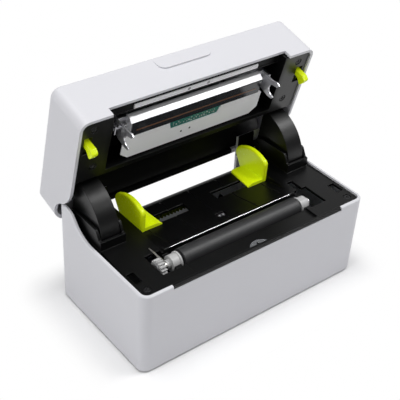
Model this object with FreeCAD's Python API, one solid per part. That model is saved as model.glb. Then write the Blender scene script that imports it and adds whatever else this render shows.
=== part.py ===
import FreeCAD, Part
import math
import os

# Thermal label printer, standing on its feet with the lid open.
# Millimetres. +X is the printer's right, +Y its back, +Z up. Pieces are laid out with the lid closed, the case
# centred on X and Y and its lower edge at z = 0. The lid's pieces are then swung open about the hinge, and
# everything is moved so that the middle of the whole outline stands at the origin on the feet.

# Case
CASE_W = 215.0
CASE_D = 111.6
CORNER_R = 7.5
WALL = 2.4
RIM_Z = 70.9
RIM_EDGE_R = 1.3
LID_H = 41.0
LID_EDGE_R = 3.0
SEAM = 0.5
FIT = 0.4

# Hinge and the humps around it
HINGE_INSET = 10.15
HINGE_RISE = 1.6
HINGE_PIN_R = 2.0
HUMP_R = 15.0
BLEND_R = 28.0
LID_OPEN = 75.5
RUNNING = 0.05

# Front recesses, finger tongue and rear inlet
BASE_RECESS_MARGIN = 0.7
BASE_RECESS_H = 3.2
LID_RECESS_MARGIN = 2.5
LID_RECESS_H = 7.4
TONGUE_HALF = 24.0
TONGUE_H = 15.2
TONGUE_R = 6.0
TONGUE_PROUD = 1.4
INLET_MARGIN = 2.0
INLET_DROP = 20.9

# Bottom pan and feet
PAN_Z = 0.6
PAN_T = 2.2
FOOT_H = 2.0
FOOT_R = 8.0
FOOT_INSET_X = 19.5
FOOT_INSET_Y = 15.0
FOOT_EDGE_R = 0.5
PAN_HOLE_R = 1.7

# Deck
DECK_DROP = 1.4
DECK_T = 2.2
LIP_RISE = 1.1
PANEL_SIDE_GAP = 1.2
STEP_T = 2.0
PANEL_DROP = 4.0
PANEL_EDGE_RISE = 2.0
PANEL_EDGE_R = 0.8
PANEL_FLAT_LEAD = 11.25
PANEL_LIP_LEN = 6.5
PANEL_REAR_GAP = 3.25
PANEL_REAR_DROP = 3.0
APRON_MARGIN = 2.6
APRON_DROP = 1.8
POCKET_MARGIN = 2.8
POCKET_FRONT = 11.2
POCKET_REAR = 12.5
NOTCH_INSET = 4.1
NOTCH_W = 5.4
NOTCH_LEN = 12.0
GROOVE_W = 1.0
GROOVE_EDGE = 8.0
GROOVE_DEPTH = 0.5

# Cheek drums on the lid and the guard walls around them
DRUM_R = 37.0
DRUM_T = 2.0
DRUM_INSET = 8.2
DRUM_W = 16.1
DRUM_FROM = 168.0
DRUM_TO = 256.0
GUARD_T = 2.4
GUARD_GAP = 0.6
GUARD_FRONT_RISE = 6.1
GUARD_TOP_RISE = 12.5

# Platen and its bearings
PLATEN_SETBACK = 26.8
PLATEN_R = 8.0
PLATEN_RISE = 2.7
PLATEN_INSET = 50.5
SHAFT_R = 3.0
BUSH_GAP = 1.6
BUSH_FLANGE_T = 1.6
BUSH_FLANGE_R = 7.0
BUSH_R = 6.2
NECK_R = 3.6
NECK_OVER = 0.8
LEAF_ROOM = 3.0
LEAF_T = 0.4
BAY_GAP = 1.2

# Gear train
MODULE = 0.8
PRESSURE = math.radians(25.0)
BACKLASH = 0.08
PLATEN_TEETH = 16
IDLER_SMALL_TEETH = 14
IDLER_LARGE_TEETH = 28
MOTOR_TEETH = 12
GEAR_W = 5.0
GEAR_GAP = 1.0
IDLER_TILT = math.radians(5.0)
MOTOR_TILT = math.radians(20.0)
STUD_R = 2.0
MOTOR_SIDE = 35.0
MOTOR_LEN = 26.0
MOTOR_SHAFT_R = 2.5
PLATE_T = 1.5
PLATE_GAP = 10.0
PLATE_FRONT = 12.0
PLATE_REAR = 30.0
PLATE_FOOT_LEN = 14.0
MOTOR_BORE_DEPTH = 20.0
MOTOR_CHAMFER = 3.0

# Media guides
GUIDE_GAP = 1.2
GUIDE_T = 4.6
GUIDE_EDGE_R = 1.5
GUIDE_LIFT = 0.2
GUIDE_CLOSEST = 8.0
GUIDE_FOOT_LEN = 15.2
GUIDE_FOOT_T = 2.8
GUIDE_SETBACK = 26.4
GUIDE_SLOT_HALF = 4.75
GUIDE_MODULE = 1.0
GUIDE_TEETH = 12
RACK_T = 4.0
RACK_BACK = 3.7
NECK_W = 8.0

# Sensors
SENSOR_GAP = 22.2
LENS_HALF = 9.5
LENS_DEPTH = 6.4
LENS_T = 1.4

# Lid liner
LINER_RISE = 1.7
LINER_T = 2.0
HEAD_BAY_ROOM = 6.0
HEAD_BAY_FRONT = 14.5
HEAD_BAY_REAR = 29.5
BAY_T = 1.6
LEDGE_RISE = 8.0
LINER_REAR_GAP = 4.3
TROUGH_TOP_LEAD = 18.65
TROUGH_TOP_RISE = 27.1
TROUGH_BACK_RISE = 17.1
TEAR_OVERHANG = 0.5
TEAR_DEPTH = 3.8
TEAR_T = 1.0
TEAR_HEAD_R = 1.8
TEAR_HOLE_X = 9.0
TEAR_CHAMFER = 0.6

# Print head
HEAD_GAP = 0.3
GLAZE_T = 0.15
HEAD_TRAVEL = 1.5
HEAD_OVERHANG = 4.5
CERAMIC_T = 1.0
SINK_T = 7.2
PLATE_OVERHANG = 4.0
HEAD_PLATE_T = 0.8
BOARD_T = 1.6
FORK_GAP = 6.1
FORK_SIDE = 1.0
FORK_T = 1.2
FORK_NOTCH_HALF = 4.6
HEAD_PIN_R = 1.5
SLOT_GAP = 0.1
ARM_GAP = 4.2
ARM_T = 1.2
SPRING_X = 35.0
SPRING_R = 3.5
SPRING_H = 8.0
SPRING_WIRE = 1.0
BRIDGE_T = 1.5
WINDOW_HALF = 24.0
HEAD_BOARD_INSET = 6.5

# Latches
LATCH_INSET = 6.3
LATCH_W = 5.0
LATCH_HOLE_GAP = 0.6
LATCH_PIN_R = 1.5
LATCH_GAP = 0.6
LATCH_EDGE_R = 0.6

# Screws
SCREW_R = 1.4
SCREW_HEAD_R = 2.7
SCREW_HEAD_H = 1.0
POST_R = 4.0
POST_INSET = 9.5
REAR_POST_GAP = 7.7

# Feed button, power switch and sockets
BUTTON_INSET = 33.5
BUTTON_SETBACK = 19.8
BUTTON_R = 5.0
BUTTON_PROUD = 0.9
BUTTON_TRAVEL = 0.8
BUTTON_GAP = 0.2
SWITCH_INSET = 19.5
SWITCH_Z = 20.0
SWITCH_W = 12.0
SWITCH_H = 18.0
SWITCH_DEPTH = 14.0
USB_X = 14.0
USB_W = 12.0
USB_H = 11.0
JACK_X = 44.0
JACK_W = 11.0
BOARD_Z = 12.0
BOARD_D = 66.4

# Heights and places that follow from the sizes above
FRONT_Y = -CASE_D / 2
BACK_Y = CASE_D / 2
LID_TOP_Z = RIM_Z + LID_H
HINGE_Y = BACK_Y - HINGE_INSET
HINGE_Z = RIM_Z + HINGE_RISE
DECK_Z = RIM_Z - DECK_DROP
DECK_UNDER = DECK_Z - DECK_T
PAN_TOP = PAN_Z + PAN_T
PANEL_Z = DECK_Z - PANEL_DROP
PANEL_UNDER = PANEL_Z - DECK_T
PLATEN_Y = FRONT_Y + PLATEN_SETBACK
PLATEN_Z = RIM_Z + PLATEN_RISE - PLATEN_R
PANEL_EDGE_Y = PLATEN_Y + PLATEN_R + BAY_GAP
PANEL_REAR_Y = HINGE_Y - PANEL_REAR_GAP
PANEL_LIP_Y = PANEL_REAR_Y - PANEL_LIP_LEN
GUIDE_Y = HINGE_Y - GUIDE_SETBACK
PANEL_FLAT_Y = GUIDE_Y - PANEL_FLAT_LEAD
SENSOR_Y = PLATEN_Y + SENSOR_GAP
LINER_REAR_Y = PLATEN_Y + HEAD_BAY_REAR + LINER_REAR_GAP
TROUGH_TOP_Y = HINGE_Y - TROUGH_TOP_LEAD
PLATEN_HALF = CASE_W / 2 - PLATEN_INSET
BUSH_X = PLATEN_HALF + BUSH_GAP
APRON_HALF = PLATEN_HALF + APRON_MARGIN
TEAR_HALF = PLATEN_HALF + TEAR_OVERHANG
GUIDE_X = PLATEN_HALF + GUIDE_GAP
GUIDE_TRAVEL = GUIDE_X - GUIDE_FOOT_LEN - GUIDE_CLOSEST
CENTRE_HALF = GUIDE_X + GUIDE_T + PANEL_SIDE_GAP
INLET_HALF = CENTRE_HALF + INLET_MARGIN
HEAD_HALF = PLATEN_HALF + HEAD_OVERHANG
PLATE_HALF = HEAD_HALF + PLATE_OVERHANG
FORK_X = HEAD_HALF + FORK_GAP
ARM_X = FORK_X + ARM_GAP
HEAD_BAY_HALF = ARM_X + ARM_T + HEAD_BAY_ROOM
LID_RECESS_HALF = HEAD_BAY_HALF + LID_RECESS_MARGIN
BASE_RECESS_HALF = LID_RECESS_HALF + BASE_RECESS_MARGIN
NECK_END = FORK_X + FORK_T + NECK_OVER
GEAR_X1 = -NECK_END - LEAF_ROOM
GEAR_X0 = GEAR_X1 - GEAR_W
PLATE_X = -GEAR_X1 - PLATE_GAP
DRUM_X1 = CASE_W / 2 - DRUM_INSET
DRUM_X0 = DRUM_X1 - DRUM_W
LATCH_X1 = CASE_W / 2 - LATCH_INSET
LATCH_X0 = LATCH_X1 - LATCH_W
LATCH_Y0 = PLATEN_Y - 8.2
LATCH_Y1 = PLATEN_Y + 3.2
BUTTON_X = CASE_W / 2 - BUTTON_INSET
BUTTON_Y = FRONT_Y + BUTTON_SETBACK
SWITCH_X = CASE_W / 2 - SWITCH_INSET
BAY_FRONT_Y = PLATEN_Y - PLATEN_R - BAY_GAP
LINER_Z = RIM_Z + LINER_RISE
LINER_TOP = LINER_Z + LINER_T
LEDGE_Z = LINER_Z + LEDGE_RISE
HEATER_Z = RIM_Z + PLATEN_RISE + HEAD_GAP
SINK_Z = HEATER_Z + CERAMIC_T
SINK_TOP = SINK_Z + SINK_T
CASE_IN_W = CASE_W - 2 * WALL
CASE_IN_D = CASE_D - 2 * WALL
SWING = math.radians(LID_OPEN)
OPEN_BACK_Y = (
    HINGE_Y
    + (HINGE_INSET - LID_EDGE_R) * math.cos(SWING)
    + (LID_TOP_Z - HINGE_Z - LID_EDGE_R) * math.sin(SWING)
    + LID_EDGE_R
)
MIDDLE_Y = (FRONT_Y + OPEN_BACK_Y) / 2

V = FreeCAD.Vector
X_AXIS = V(1, 0, 0)
os.makedirs("parts", exist_ok=True)


def block(x0, x1, y0, y1, z0, z1):
    return Part.makeBox(x1 - x0, y1 - y0, z1 - z0, V(x0, y0, z0))


def rod_x(radius, x0, x1, y, z):
    return Part.makeCylinder(radius, x1 - x0, V(x0, y, z), X_AXIS)


def rod_z(radius, x, y, z0, z1):
    return Part.makeCylinder(radius, z1 - z0, V(x, y, z0), V(0, 0, 1))


def tube_x(outer, inner, x0, x1, y, z):
    return rod_x(outer, x0, x1, y, z).cut(rod_x(inner, x0 - 1, x1 + 1, y, z))


def outline(points):
    """Closed wire through points; a nested pair holds the middle and the end of an arc."""
    edges = []
    at = points[0]
    for step in points[1:] + points[:1]:
        if isinstance(step, tuple):
            edges.append(Part.Arc(at, step[0], step[1]).toShape())
            at = step[1]
        elif (step - at).Length > 1e-6:
            edges.append(Part.makeLine(at, step))
            at = step
    return Part.Wire(edges)


def side_prism(points, x0, x1):
    """Side outline of (y, z) points pushed along X; ((y, z), (y, z)) is an arc's middle and end."""
    placed = []
    for p in points:
        if isinstance(p[0], tuple):
            placed.append((V(x0, *p[0]), V(x0, *p[1])))
        else:
            placed.append(V(x0, *p))
    return Part.Face(outline(placed)).extrude(V(x1 - x0, 0, 0))


def plan_prism(points, z0, z1):
    """Plan outline of (x, y) points pushed along Z; ((x, y), (x, y)) is an arc's middle and end."""
    placed = []
    for p in points:
        if isinstance(p[0], tuple):
            placed.append((V(*p[0], z0), V(*p[1], z0)))
        else:
            placed.append(V(*p, z0))
    return Part.Face(outline(placed)).extrude(V(0, 0, z1 - z0))


def upright_edges(shape):
    return [e for e in shape.Edges if abs(e.tangentAt(e.FirstParameter).z) > 0.999]


def rounded_block(width, depth, radius, z0, z1):
    b = block(-width / 2, width / 2, -depth / 2, depth / 2, z0, z1)
    return b.makeFillet(radius, upright_edges(b))


def fused(shapes):
    whole = shapes[0].multiFuse(shapes[1:]) if len(shapes) > 1 else shapes[0]
    return whole.removeSplitter()


def mirrored(shape):
    return shape.mirror(V(0, 0, 0), X_AXIS)


def both_sides(shape):
    return [shape, mirrored(shape)]


def around(angle, radius, y, z):
    """Point (y, z) at an angle in degrees, from +Y towards +Z, about a centre."""
    a = math.radians(angle)
    return (y + radius * math.cos(a), z + radius * math.sin(a))


def under_rim(offset):
    """Everything under the case's rim line: flat in front, a hollow blend, then the hump about the hinge."""
    hump = HUMP_R + offset
    blend = BLEND_R - offset
    flat = RIM_Z + offset
    cz = flat + blend
    cy = HINGE_Y - math.sqrt((hump + blend) ** 2 - (cz - HINGE_Z) ** 2)
    share = hump / (hump + blend)
    joint = (HINGE_Y + (cy - HINGE_Y) * share, HINGE_Z + (cz - HINGE_Z) * share)
    to_joint = math.degrees(math.atan2(joint[1] - cz, joint[0] - cy))
    half_way = around((to_joint - 90.0) / 2, blend, cy, cz)
    from_joint = math.degrees(math.atan2(joint[1] - HINGE_Z, joint[0] - HINGE_Y))
    return side_prism(
        [
            (FRONT_Y - 5, -5),
            (FRONT_Y - 5, flat),
            (cy, flat),
            (half_way, joint),
            (around(from_joint / 2, hump, HINGE_Y, HINGE_Z), (HINGE_Y + hump, HINGE_Z)),
            (HINGE_Y + hump, -5),
        ],
        -CASE_W,
        CASE_W,
    )


def outside_distance(x, y):
    """How far a plan point stands outside the case's rounded outline."""
    qx = abs(x) - (CASE_W / 2 - CORNER_R)
    qy = abs(y) - (CASE_D / 2 - CORNER_R)
    return math.hypot(max(qx, 0), max(qy, 0)) + min(max(qx, qy), 0) - CORNER_R


def gear_outline(teeth, module, tooth_at, place):
    """Involute teeth, one centred at angle tooth_at; place turns (u, v) into a point."""
    pitch = teeth * module / 2
    base = pitch * math.cos(PRESSURE)
    tip = pitch + 0.8 * module
    root = pitch - 1.05 * module
    start = max(base, root)
    half = math.pi / (2 * teeth) - BACKLASH / (2 * pitch)

    def flank(radius):
        p = math.acos(min(1.0, base / radius))
        return half + (math.tan(PRESSURE) - PRESSURE) - (math.tan(p) - p)

    def polar(radius, angle):
        return place(radius * math.cos(angle), radius * math.sin(angle))

    points = []
    middle = (start + tip) / 2
    for k in range(teeth):
        c = tooth_at + 2 * math.pi * k / teeth
        left = c - flank(start)
        right = c + flank(start)
        after = c + 2 * math.pi / teeth - flank(start)
        if k == 0:
            points.append(polar(root, left))
        if root < base:
            points.append(polar(start, left))
        points.append((polar(middle, c - flank(middle)), polar(tip, c - flank(tip))))
        points.append((polar(tip, c), polar(tip, c + flank(tip))))
        points.append((polar(middle, c + flank(middle)), polar(start, right)))
        if root < base:
            points.append(polar(root, right))
        points.append((polar(root, (right + after) / 2), polar(root, after)))
    return points


def gear_x(teeth, x0, x1, y, z, tooth_at):
    points = gear_outline(teeth, MODULE, tooth_at, lambda u, w: V(x0, y + u, z + w))
    return Part.Face(outline(points)).extrude(V(x1 - x0, 0, 0))


def placed(shape):
    moved = shape.copy()
    moved.translate(V(0, -MIDDLE_Y, FOOT_H))
    return moved


def opened(shape):
    moved = shape.copy()
    moved.rotate(V(0, HINGE_Y, HINGE_Z), X_AXIS, -LID_OPEN)
    return moved


def save(node, shape, on_lid=False):
    placed(opened(shape) if on_lid else shape).exportStep("parts/" + node + ".step")


# Base shell: one wall all round, posts for the deck, cut away in front, behind and for the sockets.
deck_posts = [
    (CASE_W / 2 - POST_INSET, FRONT_Y + 9.8),
    (DRUM_X0 - GUARD_GAP - GUARD_T - REAR_POST_GAP, BACK_Y - 9.3),
]
outer = rounded_block(CASE_W, CASE_D, CORNER_R, 0, HINGE_Z + HUMP_R + 1)
base_shell = outer.common(under_rim(0.0))
rim_edges = []
for e in base_shell.Edges:
    m = e.valueAt((e.FirstParameter + e.LastParameter) / 2)
    low = min(v.Z for v in e.Vertexes)
    if low > RIM_Z - 0.01 and abs(outside_distance(m.x, m.y)) < 1e-3:
        rim_edges.append(e)
base_shell = base_shell.makeFillet(RIM_EDGE_R, rim_edges)
base_shell = base_shell.cut(rounded_block(CASE_IN_W, CASE_IN_D, CORNER_R - WALL, -1, LID_TOP_Z))
recess_z = RIM_Z - BASE_RECESS_H
base_shell = base_shell.cut(
    block(-BASE_RECESS_HALF, BASE_RECESS_HALF, FRONT_Y - 1, FRONT_Y + WALL + 1, recess_z, RIM_Z + 9)
)
inlet_z = RIM_Z - INLET_DROP
base_shell = base_shell.cut(block(-INLET_HALF, INLET_HALF, BACK_Y - WALL - 1, BACK_Y + 1, inlet_z, LID_TOP_Z))
posts = []
for px, py in deck_posts:
    wall_y = math.copysign(BACK_Y - WALL / 2, py)
    post = rod_z(POST_R, px, py, PAN_TOP, DECK_UNDER)
    rib = block(px - 1, px + 1, min(py, wall_y), max(py, wall_y), PAN_TOP, DECK_UNDER - 2)
    posts += both_sides(post.fuse(rib))
base_shell = fused([base_shell] + posts)
for px, py in deck_posts:
    for hole in both_sides(rod_z(SCREW_R, px, py, PAN_TOP - 1, DECK_UNDER + 1)):
        base_shell = base_shell.cut(hole)
usb_z = BOARD_Z + BOARD_T
usb_x0 = USB_X - USB_W / 2
usb_x1 = USB_X + USB_W / 2
usb_top = usb_z + USB_H
usb_hole = block(usb_x0 - FIT, usb_x1 + FIT, BACK_Y - 4, BACK_Y + 1, usb_z - FIT, usb_top + FIT)
jack_z = usb_z + JACK_W / 2
jack_hole = Part.makeCylinder(JACK_W / 2 + FIT, 9, V(JACK_X, BACK_Y - 5, jack_z), V(0, 1, 0))
switch_hole = block(
    SWITCH_X - SWITCH_W / 2,
    SWITCH_X + SWITCH_W / 2,
    BACK_Y - 5,
    BACK_Y + 1,
    SWITCH_Z - SWITCH_H / 2,
    SWITCH_Z + SWITCH_H / 2,
)
base_shell = base_shell.cut(usb_hole).cut(jack_hole).cut(switch_hole)
save("base_shell", base_shell)

# Bottom pan: plate inside the wall with board standoffs; the posts stand on it.
board_x0 = -30.0
board_x1 = 60.0
board_y1 = BACK_Y - WALL - 1.0
board_y0 = board_y1 - BOARD_D
standoffs = [
    (board_x0 + 4, board_y0 + 4),
    (board_x1 - 4, board_y0 + 4),
    (board_x0 + 4, board_y1 - 6),
    (board_x1 - 30, board_y1 - 20),
]
bottom_pan = rounded_block(CASE_IN_W - 2 * FIT, CASE_IN_D - 2 * FIT, CORNER_R - WALL - FIT, PAN_Z, PAN_TOP)
for px, py in standoffs:
    bottom_pan = bottom_pan.fuse(rod_z(3.0, px, py, PAN_Z, BOARD_Z))
for px, py in standoffs:
    bottom_pan = bottom_pan.cut(rod_z(SCREW_R, px, py, BOARD_Z - 6, BOARD_Z + 1))
for px, py in deck_posts:
    for hole in both_sides(rod_z(PAN_HOLE_R, px, py, PAN_Z - 1, PAN_TOP + 1)):
        bottom_pan = bottom_pan.cut(hole)
plate_y0 = PLATEN_Y - PLATE_FRONT
plate_y1 = PLATEN_Y + PLATE_REAR
flange_x0 = -PLATE_X
flange_x1 = -PLATE_X + PLATE_FOOT_LEN
bracket_holes = [(flange_x0 + 8, plate_y0 + 6), (flange_x0 + 8, plate_y1 - 6)]
for px, py in bracket_holes:
    bottom_pan = bottom_pan.cut(rod_z(SCREW_R, px, py, PAN_Z - 1, PAN_TOP + 1))
save("bottom_pan", bottom_pan)

# Rubber feet: four discs under the pan.
foot_x = CASE_W / 2 - FOOT_INSET_X
foot_y = CASE_D / 2 - FOOT_INSET_Y
feet = []
for sy in (-foot_y, foot_y):
    foot = rod_z(FOOT_R, foot_x, sy, -FOOT_H, PAN_Z)
    low_edge = [e for e in foot.Edges if abs(e.BoundBox.ZMax + FOOT_H) < 1e-6]
    feet += both_sides(foot.makeFillet(FOOT_EDGE_R, low_edge))
save("rubber_feet", Part.makeCompound(feet))

# Pan screws, up into the deck posts.
bottom_screws = []
for px, py in deck_posts:
    screw = rod_z(SCREW_HEAD_R, px, py, PAN_Z - SCREW_HEAD_H, PAN_Z)
    screw = screw.fuse(rod_z(SCREW_R, px, py, PAN_Z, PAN_TOP + 8))
    bottom_screws += both_sides(screw.removeSplitter())
save("bottom_screws", Part.makeCompound(bottom_screws))

# Deck: plate inside the rim, stepped centre panel, platen bay, bearing seats, guard walls and guide slots.
guard_in = DRUM_X0 - GUARD_GAP
guard_out = DRUM_X1 + GUARD_GAP
guard_front = HINGE_Y - DRUM_R - GUARD_GAP
deck_back = CASE_IN_D / 2 - FIT
deck = rounded_block(CASE_IN_W - 2 * FIT, CASE_IN_D - 2 * FIT, CORNER_R - WALL - FIT, DECK_UNDER, DECK_Z)
lip_half = BASE_RECESS_HALF - FIT
lip_z = recess_z + 0.3
lip = block(-lip_half, lip_half, FRONT_Y + 0.3, FRONT_Y + 3.4, lip_z, lip_z + 1.4)
lip = lip.fuse(block(-lip_half, lip_half, FRONT_Y + 1.0, FRONT_Y + 3.4, lip_z, DECK_Z + LIP_RISE))
deck = deck.fuse(lip)
apron_y0 = FRONT_Y + 3.4
apron_y1 = BAY_FRONT_Y - 2.0
apron_z = DECK_Z - APRON_DROP
apron_out = APRON_HALF + STEP_T
apron = block(-apron_out, apron_out, apron_y0 - 1, apron_y1 + 1, apron_z - DECK_T, DECK_UNDER + 0.5)
deck = deck.fuse(apron).cut(block(-APRON_HALF, APRON_HALF, apron_y0, apron_y1 + 3, apron_z, LID_TOP_Z))
pocket_x = guard_in - POCKET_MARGIN
pocket_front = PLATEN_Y - POCKET_FRONT
pocket_rear = PLATEN_Y + POCKET_REAR
bay_half = BUSH_X + BUSH_FLANGE_T + 0.3
seat_x0 = BUSH_X + BUSH_FLANGE_T + 0.4
seat_x1 = FORK_X - FORK_SIDE - 0.2
deck = deck.cut(block(-CENTRE_HALF, CENTRE_HALF, PANEL_EDGE_Y, BACK_Y, 0, LID_TOP_Z))
deck = deck.cut(block(-bay_half, bay_half, BAY_FRONT_Y, PANEL_EDGE_Y + 1, 0, LID_TOP_Z))
deck = deck.cut(block(-pocket_x, -bay_half, pocket_front, pocket_rear, 0, LID_TOP_Z))
deck = deck.cut(block(bay_half, pocket_x, pocket_front, pocket_rear, 0, LID_TOP_Z))
notch_x1 = pocket_x - NOTCH_INSET
deck = deck.cut(block(notch_x1 - NOTCH_W, notch_x1, pocket_rear - 1, pocket_rear + NOTCH_LEN, 0, LID_TOP_Z))
edge_z = DECK_Z + PANEL_EDGE_RISE
panel_profile = [
    (PANEL_EDGE_Y, edge_z - PANEL_EDGE_R),
    (
        around(135.0, PANEL_EDGE_R, PANEL_EDGE_Y + PANEL_EDGE_R, edge_z - PANEL_EDGE_R),
        (PANEL_EDGE_Y + PANEL_EDGE_R, edge_z),
    ),
    (PANEL_FLAT_Y, PANEL_Z),
    (PANEL_LIP_Y, PANEL_Z),
    (PANEL_REAR_Y, PANEL_Z - PANEL_REAR_DROP),
    (PANEL_REAR_Y, PANEL_UNDER - PANEL_REAR_DROP),
    (PANEL_LIP_Y, PANEL_UNDER),
    (PANEL_FLAT_Y, PANEL_UNDER),
    (PANEL_EDGE_Y + 2.0, edge_z - DECK_T - 0.6),
    (PANEL_EDGE_Y + 2.0, PLATEN_Z - 7.6),
    (PANEL_EDGE_Y, PLATEN_Z - 7.6),
]
deck = deck.fuse(side_prism(panel_profile, -CENTRE_HALF - 0.5, CENTRE_HALF + 0.5))
groove_pitch = (CENTRE_HALF - GROOVE_EDGE) / 2
for k in range(-2, 3):
    gx = k * groove_pitch
    groove = side_prism(
        [
            (PANEL_EDGE_Y + 3, edge_z - GROOVE_DEPTH - 0.4),
            (PANEL_FLAT_Y, PANEL_Z - GROOVE_DEPTH),
            (PANEL_LIP_Y - 1, PANEL_Z - GROOVE_DEPTH),
            (PANEL_LIP_Y - 1, PANEL_Z + 9),
            (PANEL_EDGE_Y + 3, PANEL_Z + 9),
        ],
        gx - GROOVE_W / 2,
        gx + GROOVE_W / 2,
    )
    deck = deck.cut(groove)
step_x1 = CENTRE_HALF + STEP_T
step_wall = block(CENTRE_HALF, step_x1, PANEL_EDGE_Y, PANEL_REAR_Y, PANEL_UNDER - PANEL_REAR_DROP, DECK_Z)
seat = block(seat_x0, seat_x1, BAY_FRONT_Y - 2, PANEL_EDGE_Y + 2, PLATEN_Z - BUSH_R - 2.4, PLATEN_Z + 1.5)
front_wall = block(-seat_x1, seat_x1, BAY_FRONT_Y - 2, BAY_FRONT_Y, PLATEN_Z - 7.6, apron_z)
side_walls = block(CENTRE_HALF, seat_x1, PANEL_EDGE_Y, PANEL_EDGE_Y + 2, PLATEN_Z - 7.6, DECK_Z)
guard_profile = [
    (guard_front - GUARD_T, DECK_UNDER),
    (guard_front - GUARD_T, RIM_Z + GUARD_FRONT_RISE),
    (guard_front, RIM_Z + GUARD_FRONT_RISE + 0.5),
    (guard_front + 3.5, HINGE_Z + GUARD_TOP_RISE - 1.0),
    (guard_front + 5.0, HINGE_Z + GUARD_TOP_RISE),
    (HINGE_Y - 6.0, HINGE_Z + GUARD_TOP_RISE),
    (around(45.0, 10.0, HINGE_Y - 4.0, HINGE_Z), (HINGE_Y + 6.0, HINGE_Z)),
    (HINGE_Y + 6.0, DECK_UNDER),
]
inner_guard = side_prism(guard_profile, guard_in - GUARD_T, guard_in)
outer_guard = side_prism(guard_profile, guard_out, guard_out + GUARD_T)
guard_x0 = guard_in - GUARD_T
guard_x1 = guard_out + GUARD_T
guard_y0 = guard_front - GUARD_T
front_guard = block(guard_x0, guard_x1, guard_y0, guard_front, DECK_UNDER, RIM_Z + GUARD_FRONT_RISE)
pin_boss = rod_x(HINGE_PIN_R + 5.0, guard_in - GUARD_T - 1.0, guard_in - GUARD_T, HINGE_Y, HINGE_Z)
drum_hole = block(guard_in, guard_out, guard_front, BACK_Y, 0, LID_TOP_Z)
deck = deck.cut(drum_hole).cut(mirrored(drum_hole))
deck_parts = [deck, front_wall]
for piece in (step_wall, seat, side_walls, inner_guard, outer_guard, front_guard, pin_boss):
    deck_parts += both_sides(piece)
deck_parts.append(rod_z(STUD_R, 0, GUIDE_Y, PANEL_UNDER - RACK_T - 2.2, PANEL_Z - 1))
deck = fused(deck_parts)
seat_bore = rod_x(BUSH_R, seat_x0 - 1, seat_x1 + 1, PLATEN_Y, PLATEN_Z)
seat_bore = seat_bore.fuse(
    block(seat_x0 - 1, seat_x1 + 1, PLATEN_Y - BUSH_R, PLATEN_Y + BUSH_R, PLATEN_Z, LID_TOP_Z)
)
latch_hole = block(LATCH_X0 - LATCH_HOLE_GAP, LATCH_X1 + LATCH_HOLE_GAP, LATCH_Y0, LATCH_Y1, 0, LID_TOP_Z)
pin_hole = rod_x(HINGE_PIN_R, guard_in - GUARD_T - 2, guard_out + GUARD_T + 1, HINGE_Y, HINGE_Z)
guide_slot = block(
    GUIDE_X - NECK_W - GUIDE_TRAVEL - 1.5,
    GUIDE_X + 0.8,
    GUIDE_Y - GUIDE_SLOT_HALF,
    GUIDE_Y + GUIDE_SLOT_HALF,
    PANEL_UNDER - 1,
    PANEL_Z + 1,
)
deck_cuts = []
for piece in (seat_bore, latch_hole, pin_hole, guide_slot):
    deck_cuts += both_sides(piece)
for px, py in deck_posts:
    deck_cuts += both_sides(rod_z(SCREW_R, px, py, DECK_UNDER - 1, DECK_Z + 1))
    deck_cuts += both_sides(rod_z(SCREW_HEAD_R + 0.3, px, py, DECK_Z - SCREW_HEAD_H - 0.2, DECK_Z + 1))
sensor_half = 4.0
sensor_depth = 6.0
deck_cuts.append(block(-sensor_half, sensor_half, SENSOR_Y - 3, SENSOR_Y + 3, PANEL_UNDER - 1, RIM_Z))
lens_y = FRONT_Y + 3.4
lens_plan = [(-LENS_HALF, lens_y), ((0.0, lens_y + LENS_DEPTH), (LENS_HALF, lens_y))]
lens_seat = plan_prism(lens_plan, apron_z - 0.6, DECK_Z + LENS_T)
deck_cuts.append(lens_seat)
for piece in deck_cuts:
    deck = deck.cut(piece)
save("deck", deck)

# Deck screws, sunk into the deck over the posts.
deck_screws = []
for px, py in deck_posts:
    head_z = DECK_Z - SCREW_HEAD_H - 0.2
    screw = rod_z(SCREW_HEAD_R, px, py, head_z, head_z + SCREW_HEAD_H)
    screw = screw.fuse(rod_z(SCREW_R, px, py, head_z - 12, head_z))
    deck_screws += both_sides(screw.removeSplitter())
save("deck_screws", Part.makeCompound(deck_screws))

# Sensors in the deck: a block under the panel's window, and a clear lens on the front apron.
sensor = block(-sensor_half, sensor_half, SENSOR_Y - 3, SENSOR_Y + 3, PANEL_UNDER, PANEL_Z + 2.0)
save("media_sensor", sensor)
lens = plan_prism(lens_plan, apron_z - 0.6, apron_z - 0.6 + LENS_T)
lens = lens.cut(rod_z(1.3, 0, lens_y + 2.6, apron_z - 1, DECK_Z + 3))
save("label_sensor_lens", lens)

# Hinge pins: fixed in the guard walls, the drums turn on them.
hinge_pin = rod_x(HINGE_PIN_R, guard_in - GUARD_T - 1.4, guard_out + GUARD_T + 0.4, HINGE_Y, HINGE_Z)
save("hinge_pins", Part.makeCompound(both_sides(hinge_pin)))

# Platen bushings: flange against the rubber's end, body in the deck's seat, neck for the head's fork.
bush_a = BUSH_X + BUSH_FLANGE_T
bush_b = FORK_X - FORK_SIDE
bushing = rod_x(BUSH_FLANGE_R, BUSH_X, bush_a, PLATEN_Y, PLATEN_Z)
bushing = bushing.fuse(rod_x(BUSH_R, bush_a, bush_b, PLATEN_Y, PLATEN_Z))
bushing = bushing.fuse(rod_x(NECK_R, bush_b, NECK_END, PLATEN_Y, PLATEN_Z))
bushing = bushing.cut(rod_x(SHAFT_R + RUNNING, BUSH_X - 1, NECK_END + 1, PLATEN_Y, PLATEN_Z))
bushing = bushing.removeSplitter()
save("bushing_right", bushing)
save("bushing_left", mirrored(bushing))

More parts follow.
